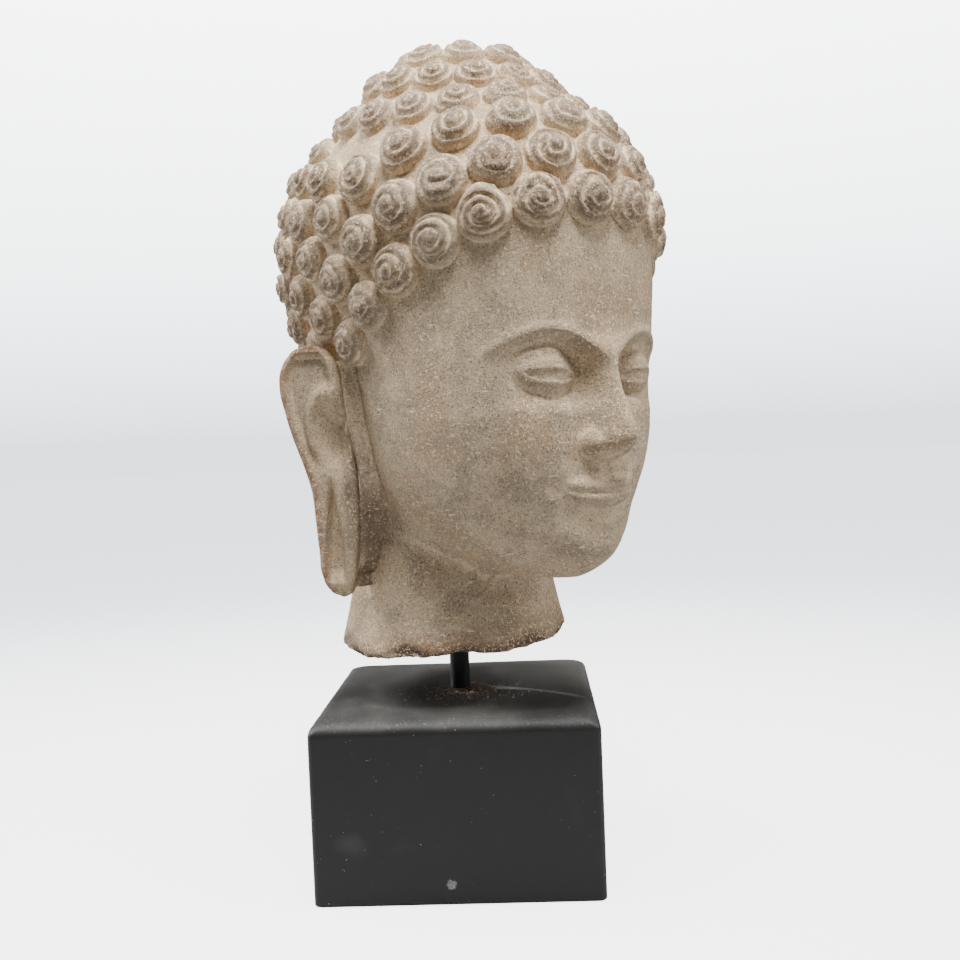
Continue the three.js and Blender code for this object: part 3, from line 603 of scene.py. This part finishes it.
def make_stone():
    """Head, face and neck without the curls: columns closest together over the face, rows even over the
    surface with one lying on the foot's edge. The ears and the stone behind them are joined on."""
    columns, above, below = (int(k * DETAIL) for k in (STONE_COLUMNS, STONE_ROWS, FOOT_ROWS))
    a = np.linspace(0, 2 * np.pi, 2000)
    crowding = np.concatenate([[0], np.cumsum(1 + 1.5 * bell(((a[1:] - 1.5 * np.pi) / 0.9) ** 2))])
    azimuth = np.interp(np.arange(columns) * crowding[-1] / columns, crowding, a)
    rows = even_rows(above, foot_elevation,
                     lambda z: 0.75 + 0.8 * (ramp(z, 190, 205) - ramp(z, 320, 350)))
    wall = rays_over(azimuth, foot_elevation, rows)
    inward = np.linspace(0, 1, below + 2)[1:-1, None]
    foot = foot_elevation(azimuth)
    floor = rays_at(azimuth, foot - inward * (np.pi / 2 + foot))
    loops = over_grid(carve_stone, np.concatenate([wall, floor]))
    ends = carve_stone(np.array([[0, 0, 1.0], [0, 0, -1.0]]))
    stone = closed_grid("carved_head", turned(loops), turned(ends))
    for side, word in ((-1, "right"), (1, "left")):
        for make, name, size in ((web_points, "web", WEB_GRID), (ear_points, "ear", EAR_GRID)):
            loops, ends = make(side, *(int(k * max(DETAIL, 0.6)) for k in size))
            part = closed_grid(f"{word}_{name}", turned(loops), turned(ends),
                               flip=(side < 0) == (name == "ear"))
            join(stone, part, "UNION")
    return stone


def join(piece, part, operation):
    """Solid union or difference of two closed pieces; the second is used up."""
    how = piece.modifiers.new("join", "BOOLEAN")
    how.operation, how.solver, how.object = operation, "MANIFOLD", part
    keep_result(piece)
    mesh = part.data
    bpy.data.objects.remove(part)
    bpy.data.meshes.remove(mesh)


def make_hair(seats):
    """The cap of curls, a closed shell 6 mm thick: carved rows down to the hair's edge, then smooth
    rows back up inside the stone."""
    azimuth = round_angles(int(HAIR_COLUMNS * DETAIL))
    edge = hair_edge(azimuth)
    rows = even_rows(int(HAIR_ROWS_OUT * DETAIL), hair_edge)
    outside = over_grid(carve_curls, rays_over(azimuth, lambda _: edge, rows), seats)
    within = rays_over(azimuth, lambda _: edge, np.linspace(1, 0, HAIR_ROWS_IN + 1)[:-1])
    smooth = shell(within.reshape(-1, 3))
    smooth = (smooth - HAIR_WALL * normals_at(smooth)).reshape(within.shape)
    up = np.array([[0, 0, 1.0]])
    ends = np.concatenate([carve_curls(up, seats), shell(up) - [[0, 0, HAIR_WALL]]])
    return closed_grid("carved_curls", turned(np.concatenate([outside, smooth])), turned(ends))


def thin_out(piece):
    """Fewer triangles, taken from where the surface is flattest."""
    triangles = sum(len(f.vertices) - 2 for f in piece.data.polygons)
    if triangles > MOST_TRIANGLES:
        piece.modifiers.new("thin", "DECIMATE").ratio = MOST_TRIANGLES / triangles
        keep_result(piece)


def cut_socket(head):
    """A round hole for the rod, up into the neck."""
    a = round_angles(ROD_SIDES)
    r, levels = ROD_R + 0.3 * MM, (ROD_HIGH[2] - 90 * MM, ROD_HIGH[2] + 0.3 * MM)
    ring = np.stack([ROD_MIDDLE[0] + r * np.cos(a), ROD_MIDDLE[1] + r * np.sin(a)], -1)
    loops = np.stack([level_loop(ring, z) for z in levels])
    plug = closed_grid("plug", loops, np.array([[*ROD_MIDDLE, z] for z in levels]), flip=True)
    join(head, plug, "DIFFERENCE")


def mark(mesh, name, values):
    """Keep one number per vertex under a name that the finishes read."""
    mesh.attributes.new(name, "FLOAT", "POINT").data.foreach_set("value", values.astype(np.float32))


def mark_stone(head, seats, curls=False):
    """Hollows, from how far a vertex lies below the average of the vertices round it, and where the
    curls, their grooves, the ears, their rims and the broken foot are."""
    mesh = head.data
    count = len(mesh.vertices)
    p, n = np.empty(count * 3, np.float32), np.empty(count * 3, np.float32)
    mesh.vertices.foreach_get("co", p)
    mesh.vertex_normals.foreach_get("vector", n)
    p, n = p.reshape(-1, 3).astype(float) / MM, n.reshape(-1, 3).astype(float)
    pairs = np.empty(len(mesh.edges) * 2, np.int32)
    mesh.edges.foreach_get("vertices", pairs)
    a, b = pairs.reshape(-1, 2).T
    around = np.bincount(a, minlength=count) + np.bincount(b, minlength=count)

    def soften(v, times):
        """Each vertex's value replaced by the average of its neighbours', several times over."""
        for _ in range(times):
            v = np.stack([(np.bincount(a, c[b], count) + np.bincount(b, c[a], count)) / around
                          for c in v.T], 1)
        return v
    crevice = soften((((soften(p, 3) - p) * n).sum(1) / 0.35)[:, None], 1)[:, 0]

    q = p - [ROD_MIDDLE[0] / MM, ROD_MIDDLE[1] / MM, TABLE / MM]
    q = np.stack([HEAD_COS * q[:, 0] + HEAD_SIN * q[:, 1], HEAD_COS * q[:, 1] - HEAD_SIN * q[:, 0],
                  q[:, 2]], 1)
    base = q.copy()
    for _ in range(4):
        slope = np.stack([body(*(base + step).T) - body(*(base - step).T)
                          for step in np.eye(3) * 0.5], 1)
        base -= slope * (body(*base.T) / np.maximum((slope ** 2).sum(1), 0.2))[:, None]
    lift, nearest, groove, crowd = hair(base, seats)
    x, y, z = q.T
    outside = body(x, y, z)
    root_x, root_y = ear_root(z)
    out = (np.abs(x) - root_x) * EAR_SIN + (y - root_y) * EAR_COS
    front = (np.abs(x) - root_x) * EAR_COS - (y - root_y) * EAR_SIN
    ear = ((z > EAR_FOOT - 1) & (z < EAR_TOP + 1) & (out > ear_inner(z) - 2) & (front > -9)
           & (outside > 0.8) & (np.abs(x) > 45))
    edge = np.minimum(ear_outer(z) - out, (EAR_TOP - z) * 0.9)
    rise = z - underside(x, y)
    mark(mesh, "crevice", np.clip(crevice, -1, 1))
    mark(mesh, "curl", lift / CURL_TALL * curls)
    mark(mesh, "groove", groove * curls)
    mark(mesh, "scalp", np.where(ear, 0, ramp(crowd, 0.95, 1.35) * (1 - curls)))
    mark(mesh, "skirt", np.where(ear, 0, 1 - ramp(nearest, 1.0, 1.22)) * (1 - curls))
    mark(mesh, "rim", ear * (1 - ramp(edge, 1.5, 6.5)))
    mark(mesh, "pit", ear * ramp(ear_carving(out, z), 1.5, 7))
    # The web mark places painted shade: the stone behind and under each ear and a strip down the ear's inner
    # edge.
    behind = (~ear) * (outside > 0.8) * (np.abs(x) > 38) * (y > -50) * (1 - ramp(z, 215, 262))
    column = (ear * (1 - ramp(out - ear_inner(z), 4, 9)) * ramp(z, 185, 200)
              * (1 - ramp(z, 262, 268)))
    mark(mesh, "web", (behind + 0.75 * column) * (1.0 - curls))
    mark(mesh, "foot", 1 - ramp(rise, 0, 16))
    mark(mesh, "broken", ramp(ledge(q) - rise, -0.4, 0.9) * (outside < 1))


# ---- stand --------------------------------------------------------------------------
def square_loop(half_x, half_y, corner, straight=40, bend=14):
    """Points round a rectangle with rounded corners: straight sides and quarter circles."""
    a = np.linspace(0, np.pi / 2, bend)
    side = np.linspace(0, 1, straight + 2)[1:-1]
    points = []
    for k in range(4):
        turn = k * np.pi / 2
        c, s = round(math.cos(turn)), round(math.sin(turn))
        half = (half_x, half_y) if k % 2 == 0 else (half_y, half_x)
        arc = np.stack([half[0] - corner + corner * np.cos(a),
                        half[1] - corner + corner * np.sin(a)], -1)
        line = np.stack([half[0] - corner - side * 2 * (half[0] - corner), 0 * side + half[1]], -1)
        both = np.concatenate([arc, line])
        points.append(np.stack([c * both[:, 0] - s * both[:, 1], s * both[:, 0] + c * both[:, 1]], -1))
    return np.concatenate(points)


def make_block():
    """Rounded rectangles from the underside up the walls, over a quarter round and in over the top,
    with a slight unevenness of hand-rubbed paint on the round."""
    middle = (BLOCK_LOW + BLOCK_HIGH)[:2] / 2
    half = (BLOCK_HIGH - BLOCK_LOW)[:2] / 2
    low, high, round_r = BLOCK_LOW[2], BLOCK_HIGH[2], 8 * MM
    walls, tops = 18, 20
    a = np.linspace(0, np.pi / 2, 12)
    inner = np.linspace(0, 1, tops + 2)[1:-1]
    inset = np.concatenate([[6 * MM, 1.2 * MM, 0.4 * MM, 0, 0], np.zeros(walls),
                            round_r * (1 - np.cos(a)), round_r + inner * (half[0] - round_r - 1 * MM)])
    level = np.concatenate([[low, low, low + 0.2 * MM, low + 0.9 * MM, low + 2 * MM],
                            np.linspace(low + 3 * MM, high - round_r - 0.5 * MM, walls),
                            high - round_r + round_r * np.sin(a), np.full(tops, high)])
    corner = np.minimum(4 * MM + np.clip(inset, 0, round_r) * 0.9, half[0] - inset) * 0.999
    loops = np.stack([level_loop(square_loop(half[0] - i, half[1] - i, r), z)
                      for i, z, r in zip(inset, level, corner)])
    flat = loops.reshape(-1, 3)
    worn = 0.30 * MM * np.clip(noise(flat / MM, 11, 21) + 0.5 * noise(flat / MM, 4, 22), 0, 1)
    worn = worn * (flat[:, 2] > high - round_r * 1.2) * (flat[:, 2] < high - 0.02 * MM)
    flat = flat - worn[:, None] * unit(flat - [0, 0, low + 0.02])
    loops = flat.reshape(loops.shape) + [*middle, 0]
    ends = np.array([[*middle, low], [*middle, high]])
    return closed_grid("painted_block", loops, ends, flip=True)


def make_rod():
    """A straight round bar with a small chamfer at each end."""
    a = round_angles(ROD_SIDES)
    low, high, rows = ROD_LOW[2], ROD_HIGH[2], 30
    r = ROD_R * np.array([0.85, 1, *np.ones(rows), 1, 0.85])
    z = np.array([low, low + 1 * MM, *np.linspace(low + 2 * MM, high - 2 * MM, rows), high - 1 * MM, high])
    loops = np.stack([ROD_MIDDLE[0] + r[:, None] * np.cos(a), ROD_MIDDLE[1] + r[:, None] * np.sin(a),
                      np.repeat(z[:, None], ROD_SIDES, 1)], -1)
    ends = np.array([[*ROD_MIDDLE, low], [*ROD_MIDDLE, high]])
    return closed_grid("steel_rod", loops, ends, flip=True)


def make_heap(centre, top):
    """Stone dust at the foot of the rod: a low mound, its height falling off as (1 - r^2)^2 to a ragged
    edge."""
    a = round_angles(72)
    t = np.linspace(1, 0, 15)[:-1, None]
    edge = 1 + 0.28 * np.sin(3 * a + 0.6) * np.cos(2 * a) + 0.12 * np.sin(7 * a + 2)
    x = t * edge * (15 * MM) * np.cos(a)
    y = t * edge * (11 * MM) * np.sin(a)
    flat = np.stack([x, y, 0 * x], -1)
    bumps = (noise(flat.reshape(-1, 3) / MM, 2.2, 31) + 1).reshape(x.shape)
    z = top + 0.05 * MM + 1.1 * MM * bump(t) * (0.45 + 0.4 * bumps)
    mound = np.stack([centre[0] + x, centre[1] + y, z], -1)
    under = mound[:1].copy()
    under[..., 2] = top - 0.3 * MM
    loops = np.concatenate([under, mound])
    ends = np.array([[*centre, top - 0.3 * MM], [*centre, z[-1].max()]])
    return closed_grid("stone_dust", loops, ends, flip=True)


def make_crumbs(centre, top, count):
    """Crumbs round the mound, thicker towards its middle: each has eight faces, on six corners pushed
    in or out along the axes."""
    k = np.arange(count)
    way = 2 * np.pi * chance(k, 5)
    far = (4 + 42 * chance(k, 6) ** 2.0) * MM
    size = (0.20 + 0.50 * chance(k, 7) ** 3) * MM
    at = np.stack([centre[0] + far * np.cos(way) * 1.05, centre[1] - 9 * MM + far * np.sin(way) * 0.65,
                   top + size * 0.45], -1)
    clear = np.hypot(*(at[:, :2] - ROD_MIDDLE).T) > ROD_R + 1.2 * MM
    at, size, k = at[clear], size[clear], k[clear]
    corners = np.array([[1, 0, 0], [0, 1, 0], [-1, 0, 0], [0, -1, 0], [0, 0, 1], [0, 0, -1]], float)
    faces = np.array([[0, 1, 4], [1, 2, 4], [2, 3, 4], [3, 0, 4],
                      [1, 0, 5], [2, 1, 5], [3, 2, 5], [0, 3, 5]])
    push = 0.75 + 0.5 * chance(k[:, None] * 6 + np.arange(6), 8)
    points = at[:, None] + corners * (size[:, None] * push)[..., None]
    faces = faces[None] + 6 * np.arange(len(k))[:, None, None]
    mesh = bpy.data.meshes.new("stone_crumbs")
    mesh.from_pydata(points.reshape(-1, 3).tolist(), [], faces.reshape(-1, 3).tolist())
    return in_scene("stone_crumbs", mesh)


# ---- finishes -----------------------------------------------------------------------
class Wire:
    """An output socket. Arithmetic on it adds Math nodes."""

    def __init__(self, finish, socket):
        self.finish, self.socket = finish, socket

    def math(self, operation, *values):
        """A Math node on the values, or on this socket alone."""
        return self.finish.node("ShaderNodeMath", {"operation": operation}, *(values or (self,)))

    def __add__(self, other):
        return self.math("ADD", self, other)

    def __sub__(self, other):
        return self.math("SUBTRACT", self, other)

    def __rsub__(self, other):
        return self.math("SUBTRACT", other, self)

    def __mul__(self, other):
        return self.math("MULTIPLY", self, other)

    __radd__, __rmul__ = __add__, __mul__

    def rise(self, low, high):
        """Smooth step from 0 at low to 1 at high."""
        smooth = {"interpolation_type": "SMOOTHSTEP"}
        return self.finish.node("ShaderNodeMapRange", smooth, self, low, high, 0.0, 1.0)


class Finish:
    """A material, with one method that adds any node: its type, its settings, then its sockets."""

    def __init__(self, name, rough):
        self.material = bpy.data.materials.new(name)
        self.material.use_nodes = True
        self.tree = self.material.node_tree
        self.shader = self.tree.nodes["Principled BSDF"]
        self.shader.inputs["Roughness"].default_value = rough
        self.place = self.node("ShaderNodeTexCoord", {"out": "Object"})

    def put(self, socket, value):
        """Link a wire to a socket, or set a plain value on it."""
        if isinstance(value, Wire):
            self.tree.links.new(value.socket, socket)
        else:
            socket.default_value = value

    def node(self, kind, settings=None, *values, **named):
        """New node of a kind: its settings first, with "out" for the socket that is handed back and
        "stops" for a ramp's places and colours, then its sockets by order or name."""
        settings = dict(settings or {})
        out, stops = settings.pop("out", 0), settings.pop("stops", ())
        made = self.tree.nodes.new(kind)
        for k, (at, colour) in enumerate(stops):
            stop = made.color_ramp.elements[k] if k < 2 else made.color_ramp.elements.new(at)
            stop.position, stop.color = at, (*colour, 1)
        for key, value in settings.items():
            setattr(made, key, value)
        for key, value in [*enumerate(values), *named.items()]:
            if value is not None:
                self.put(made.inputs[key], value)
        return Wire(self, made.outputs[out])

    def noise(self, size, detail=2.0, rough=0.55, stretch=None, shift=0.0, turn=(0.0, 0.0, 0.0)):
        """Soft noise, 0 to 1 about a middle of 0.5, with lumps of the given size in metres."""
        place = self.place
        if stretch or shift:
            place = self.node("ShaderNodeMapping", None, place, (shift, shift * 0.7, -shift), turn,
                              stretch or (1.0, 1.0, 1.0))
        return self.node("ShaderNodeTexNoise", None, place, Scale=1 / size, Detail=detail, Roughness=rough)

    def axes(self):
        """The three coordinates of the place on the piece."""
        split = self.node("ShaderNodeSeparateXYZ", None, self.place).socket.node
        return [Wire(self, socket) for socket in split.outputs]

    def marked(self, name):
        """A number kept on the mesh under a name."""
        return self.node("ShaderNodeAttribute", {"attribute_name": name, "out": "Fac"})

    def mix(self, under, over, share):
        """One colour laid over another, by a share from 0 to 1."""
        made = self.node("ShaderNodeMix", {"data_type": "RGBA", "clamp_factor": True, "out": 2}, share)
        node = made.socket.node
        self.put(node.inputs[6], under if isinstance(under, Wire) else (*under, 1.0))
        self.put(node.inputs[7], over if isinstance(over, Wire) else (*over, 1.0))
        return made

    def bumped(self, height, deep):
        """Normal of a surface raised by a height, in units of deep metres."""
        return self.node("ShaderNodeBump", None, Height=height, Distance=deep, Strength=1.0)

    def done(self, colour, roughness=None, normal=None):
        """Feed the shader, and hand back the material."""
        self.put(self.shader.inputs["Base Color"], colour)
        if roughness is not None:
            self.put(self.shader.inputs["Roughness"], roughness)
        if normal is not None:
            self.put(self.shader.inputs["Normal"], normal)
        return self.material


GREY_STONE = (0.420, 0.318, 0.205)
BROWN_STONE = (0.300, 0.188, 0.098)
COOL_STONE = (0.250, 0.198, 0.142)
PALE_GRAIN = (0.800, 0.640, 0.430)
DARK_GRAIN = (0.075, 0.050, 0.032)
BUFF_DUST = (0.720, 0.545, 0.340)
DARK_PATINA_AND_SHADE = (0.118, 0.082, 0.055)
CRUST_AND_SHADE = (0.150, 0.112, 0.082)
RED_BROWN = (0.210, 0.090, 0.042)
BROKEN_STONE = (0.055, 0.033, 0.021)

PAINT = (0.0105, 0.0100, 0.0096)
DUST_AND_SHEEN_PAINT = (0.130, 0.126, 0.118)
SMEARED_DUST_AND_LIGHT = (0.180, 0.174, 0.164)
HEAD_SHADE_PAINT = (0.022, 0.018, 0.015)
BROWN_DUST = (0.085, 0.050, 0.032)
SCUFFED_PAINT = (0.36, 0.35, 0.33)
BUFF_SPECK = (0.50, 0.44, 0.37)
GREY_SPECK = (0.30, 0.28, 0.25)
RUBBED_PAINT = (0.055, 0.053, 0.050)
BARE_GROUND = (0.30, 0.29, 0.275)
ROD_PAINT, WORN_ROD = (0.0095, 0.0092, 0.009), (0.035, 0.031, 0.027)
HEAP_TONES = (0.040, 0.024, 0.017), (0.19, 0.125, 0.085)
CRUMB_TONES = (0.26, 0.20, 0.15), (0.78, 0.72, 0.62)


def sandstone():
    """Grey-brown stone with pale and dark grains, buff dust lying in hollows and between the curls, tops of
    curls rubbed dark, reddish rims, and a dark broken foot; patches of crust made denser lower down as
    painted shade, and painted shade on the stone behind and under the ears."""
    s = Finish("sandstone", 0.86)
    crevice, curl, groove, scalp, skirt, rim, pit, web, foot, broken = (
        s.marked(name) for name in ("crevice", "curl", "groove", "scalp", "skirt", "rim", "pit", "web",
                                    "foot", "broken"))
    cloud, mottle = s.noise(0.060, 4), s.noise(0.016, 5, 0.65, shift=3.1)
    fleck, grain = s.noise(0.0050, 4, 0.7, shift=1.7), s.noise(0.0016, 3, 0.8)
    speck, grit = s.noise(0.0011, 2, 0.8, shift=5.3), s.noise(0.0006, 1)
    _, _, up = s.axes()
    on_curl = curl.rise(-0.01, 0.02)
    colour = s.mix(GREY_STONE, BROWN_STONE, cloud.rise(0.46, 0.60) * 0.70)
    colour = s.mix(colour, COOL_STONE, mottle.rise(0.46, 0.66) * 0.60)
    colour = s.mix(colour, BROWN_STONE, fleck.rise(0.50, 0.66) * 0.35)
    # Crust patches are the stone's own; the height factor makes them denser lower down, which is painted
    # shade.
    crust_and_low_shade = mottle.rise(0.44, 0.60) * fleck.rise(0.36, 0.56) * (1 - up.rise(0.27, 0.36) * 0.6)
    colour = s.mix(colour, CRUST_AND_SHADE, crust_and_low_shade * (0.30 + speck.rise(0.44, 0.54) * 0.50) * (1 - on_curl))
    colour = s.mix(colour, DARK_PATINA_AND_SHADE, curl.rise(0.30, 0.75) * (0.40 + fleck.rise(0.35, 0.62) * 0.45))
    colour = s.mix(colour, RED_BROWN, curl.rise(0.35, 0.8) * mottle.rise(0.50, 0.60) * 0.40)
    colour = s.mix(colour, DARK_PATINA_AND_SHADE, crevice.rise(-0.10, -0.6) * 0.30)
    dust = (scalp * 0.80 + skirt * 0.22 + groove * 0.75 * fleck.rise(0.40, 0.55)
            + on_curl * (1 - curl.rise(0.10, 0.55)) * 0.60
            + crevice.rise(0.12, 0.8) * 0.55) * (0.45 + fleck.rise(0.38, 0.60) * 0.55)
    # Behind and under the ears the web mark keeps dust off and lays on a dark tone as painted shade.
    colour = s.mix(colour, BUFF_DUST, dust * (1 - web))
    colour = s.mix(colour, DARK_PATINA_AND_SHADE, web * 0.60)
    colour = s.mix(colour, RED_BROWN, rim * (0.60 + fleck.rise(0.35, 0.6) * 0.4))
    colour = s.mix(colour, BUFF_DUST, pit * 0.30)
    colour = s.mix(colour, RED_BROWN, foot * mottle.rise(0.40, 0.56) * 0.65)
    colour = s.mix(colour, BROKEN_STONE, broken * (0.35 + mottle.rise(0.38, 0.56) * 0.55))
    colour = s.mix(colour, DARK_GRAIN, speck.rise(0.53, 0.63) * 0.62)
    colour = s.mix(colour, PALE_GRAIN,
                   grain.rise(0.55, 0.63) * (0.45 + cloud.rise(0.42, 0.58) * 0.25 + foot * 0.2))
    for size, turn, shift in ((0.0017, (0.5, 0.6, 0.3), 2.2), (0.0015, (-0.4, -0.7, 0.2), 6.1)):
        scratch = s.noise(size, 1, stretch=(0.15, 0.15, 1.0), shift=shift, turn=turn)
        scratch = scratch.rise(0.710, 0.750) * (1 - scalp) * (1 - on_curl) * mottle.rise(0.43, 0.55)
        colour = s.mix(colour, PALE_GRAIN, scratch * 0.9)
    height = grain * 0.7 + fleck * 1.0 + grit * 0.35 - speck * 0.5
    return s.done(colour, normal=s.bumped(height, 0.0009))


def black_paint():
    """Satin black paint with grey dust and pale specks on the top, the grey also a painted sheen and laid on
    more thickly at the back and to the right of the rod as painted light where the head's shadow falls,
    painted shade and reflection of the head darkening the top round the rod, brown dust round the rod, a pale
    scuff to one corner, faint rubbed patches on the sides and a small flake off the front."""
    s = Finish("black_paint", 0.45)
    s.shader.inputs["Specular IOR Level"].default_value = 0.36
    x, y, z = s.axes()
    top = z.rise(BLOCK_HIGH[2] - 0.0075, BLOCK_HIGH[2] - 0.0005)
    x, y = x - ROD_MIDDLE[0], y - ROD_MIDDLE[1]
    smear, cloud = s.noise(0.030, 4, stretch=(1.0, 0.5, 1.0)), s.noise(0.05, 3, shift=4.0)
    speck, dot = s.noise(0.0013, 2, 0.7), s.noise(0.0019, 1, shift=6.6)
    patch = s.noise(0.035, 1, shift=9.3)
    away = s.node("ShaderNodeVectorMath", {"operation": "DISTANCE", "out": "Value"}, s.place,
                  (ROD_MIDDLE[0] + 0.004, ROD_MIDDLE[1] - 0.010, BLOCK_HIGH[2]))
    near = 1 - away.rise(0.008, 0.060)
    # Grey on the top is dust and also painted sheen; back and right lay more on where the head's shadow
    # falls, as painted light.
    back, right = y.rise(-0.02, 0.06), x.rise(0.008, 0.055) * y.rise(-0.045, 0.02)
    colour = s.mix(PAINT, DUST_AND_SHEEN_PAINT,
                   top * (0.15 + smear.rise(0.40, 0.64) * 0.20 + back * 0.45 + right * 0.50))
    colour = s.mix(colour, SMEARED_DUST_AND_LIGHT,
                   top * smear.rise(0.52, 0.70) * cloud.rise(0.42, 0.6) * (0.15 + back * 0.35))
    # Darker round the rod's foot, under the head: painted shade and painted reflection of the head.
    colour = s.mix(colour, HEAD_SHADE_PAINT, top * near * 0.55)
    colour = s.mix(colour, BROWN_DUST, top * (1 - away.rise(0.006, 0.028)) * (0.25 + smear * 0.5))
    x, y = x - 0.016, y - 0.002
    along = x * 0.89 + y * -0.45
    off = x * 0.45 + y * 0.89 + (along - 0.03) * (along - 0.03) * 5.0
    wide = 1 - along.rise(0.004, 0.035)
    scuff = (1 - (off.math("ABSOLUTE") - wide * 0.0015).rise(0.0004, 0.0036)) * along.rise(-0.004, 0.008)
    scuff = scuff * (1 - along.rise(0.055, 0.072))
    colour = s.mix(colour, SCUFFED_PAINT,
                   top * scuff * (0.30 + smear.rise(0.35, 0.6) * 0.35 + wide * 0.25))
    colour = s.mix(colour, BUFF_SPECK, top * speck.rise(0.61, 0.67) * (0.15 + near * 0.85))
    colour = s.mix(colour, GREY_SPECK, dot.rise(0.76, 0.775) * patch.rise(0.45, 0.55) * 0.55)
    colour = s.mix(colour, RUBBED_PAINT, (1 - top) * patch.rise(0.60, 0.78) * 0.40)
    flake = s.node("ShaderNodeVectorMath", {"operation": "DISTANCE", "out": "Value"}, s.place,
                   (ROD_MIDDLE[0] - 0.004, BLOCK_LOW[1], BLOCK_LOW[2] + 0.0115))
    flake = (1 - (flake + (speck - 0.5) * 0.007).rise(0.0019, 0.0030)) * dot.rise(0.33, 0.47)
    colour = s.mix(colour, BARE_GROUND, flake * (0.45 + speck.rise(0.42, 0.58) * 0.55))
    return s.done(colour, 0.36 + top * 0.20 + smear * 0.12, s.bumped(smear * 0.25 + speck * 0.12, 0.0004))


def black_steel():
    """Flat black paint on steel, a little worn."""
    s = Finish("black_steel", 0.5)
    wear, grain = s.noise(0.010, 3), s.noise(0.0011, 2)
    colour = s.mix(ROD_PAINT, WORN_ROD, wear.rise(0.52, 0.72) * 0.6)
    return s.done(colour, 0.42 + wear * 0.2, s.bumped(grain, 0.0001))


def loose_dust(name, dark, pale):
    """Ground stone: two browns in grains of about a millimetre."""
    s = Finish(name, 0.95)
    grain, lump = s.noise(0.0010, 2, 0.7), s.noise(0.004, 2, shift=1.0)
    colour = s.mix(dark, pale, grain.rise(0.45, 0.62) * (0.4 + lump * 0.6))
    return s.done(colour, normal=s.bumped(grain, 0.0004))


# ---- room ---------------------------------------------------------------------------
FLOOR_GLOW, FLOOR_R, FLOOR_SIDES = 3.9, 9, 96
FLOOR_NEAR, FLOOR_FAR = (1.0, 1.0, 1.0), (0.56, 0.60, 0.64)
AIR_LOW, AIR_MIDDLE, AIR_HIGH = (0.305, 0.332, 0.358), (0.66, 0.69, 0.72), (0.98, 1.0, 1.0)
AIR_SHOWN, AIR_LIGHT, AIR_TONE = 7.0, 0.12, (0.93, 0.97, 1.0, 1)
LIGHTS = (("overhead", (0.10, -0.40, 1.20), 0.8, 58.0), ("left", (-0.95, 0.05, 0.85), 0.6, 22.0),
          ("rim", (-1.10, 0.55, 0.10), 0.6, 9.0), ("right", (1.15, -0.25, 0.65), 0.8, 13.0))


class Air(Finish):
    """The air all round, whose nodes are added as a material's are."""

    def __init__(self, name):
        self.world = bpy.data.worlds.new(name)
        self.world.use_nodes = True
        self.tree = self.world.node_tree


def make_floor():
    """A wide pale disc that takes on the colour of the far air. Its glow is seen, and lights nothing."""
    s = Finish("pale_floor", 0.7)
    away = s.node("ShaderNodeVectorMath", {"operation": "LENGTH", "out": "Value"}, s.place)
    far = away.rise(0.15, 1.4)
    seen = s.node("ShaderNodeLightPath", {"out": "Is Camera Ray"})
    glow = s.mix((0.0, 0.0, 0.0), s.mix(FLOOR_NEAR, FLOOR_FAR, far), seen)
    s.put(s.shader.inputs["Emission Color"], glow)
    s.shader.inputs["Emission Strength"].default_value = FLOOR_GLOW
    a = round_angles(FLOOR_SIDES)
    mesh = bpy.data.meshes.new("pale_floor")
    ring = np.stack([FLOOR_R * np.cos(a), FLOOR_R * np.sin(a), 0 * a + TABLE - 0.4 * MM], -1)
    mesh.from_pydata(ring.tolist(), [], [list(range(FLOOR_SIDES))])
    mesh.materials.append(s.done(s.mix((0.34, 0.345, 0.35), (0.24, 0.25, 0.265), far)))
    in_scene("pale_floor", mesh)


def make_lights():
    """Soft round lights, all turned to the middle of the piece: one overhead and a little in front, a
    weaker one from either side, and one low and behind on the left."""
    middle = Vector((ROD_MIDDLE[0], ROD_MIDDLE[1], TABLE + 0.26))
    for name, at, size, power in LIGHTS:
        light = bpy.data.lights.new(name, "AREA")
        light.shape, light.size, light.energy = "DISK", size, power
        lamp = in_scene(name, light)
        lamp.location = middle + Vector(at)
        lamp.rotation_mode = "QUATERNION"
        lamp.rotation_quaternion = (-Vector(at)).to_track_quat("-Z", "Y")


def make_air():
    """Air that is seen as a grey rising to white, and lights the piece more weakly and evenly."""
    air = Air("pale_air")
    bpy.context.scene.world = air.world
    where = air.node("ShaderNodeTexCoord", {"out": "Generated"})
    up = air.node("ShaderNodeSeparateXYZ", {"out": "Z"}, where)
    stops = (0.0, AIR_LOW), (0.36, AIR_HIGH), (0.14, AIR_MIDDLE)
    tones = air.node("ShaderNodeValToRGB", {"stops": stops}, up)
    shown = air.node("ShaderNodeBackground", None, tones, AIR_SHOWN)
    light = air.node("ShaderNodeBackground", None, AIR_TONE, AIR_LIGHT)
    seen = air.node("ShaderNodeLightPath", {"out": "Is Camera Ray"})
    air.put(air.tree.nodes["World Output"].inputs[0],
            air.node("ShaderNodeMixShader", None, seen, light, shown))


# ---- make it --------------------------------------------------------------------------
set_camera()
seats = find_seats()
head, curls = make_stone(), make_hair(seats)
cut_socket(head)
thin_out(head)
thin_out(curls)
mark_stone(head, seats)
mark_stone(curls, seats, curls=True)
block, rod = make_block(), make_rod()
dust_middle = ROD_MIDDLE + [3 * MM, -5 * MM]
heap, crumbs = make_heap(dust_middle, BLOCK_HIGH[2]), make_crumbs(dust_middle, BLOCK_HIGH[2], 420)
stone = sandstone()
for piece, node, slot, material in (
        (head, "head", "stone", stone), (curls, None, "stone", stone),
        (block, "block", "block", black_paint()), (rod, "rod", "rod", black_steel()),
        (heap, None, "stone", loose_dust("dust_heap", *HEAP_TONES)),
        (crumbs, None, "stone", loose_dust("dust_crumbs", *CRUMB_TONES))):
    piece.data.materials.clear()
    piece.data.materials.append(material)
    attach(piece, "root")
    if node:
        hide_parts(node)
make_floor()
make_lights()
make_air()
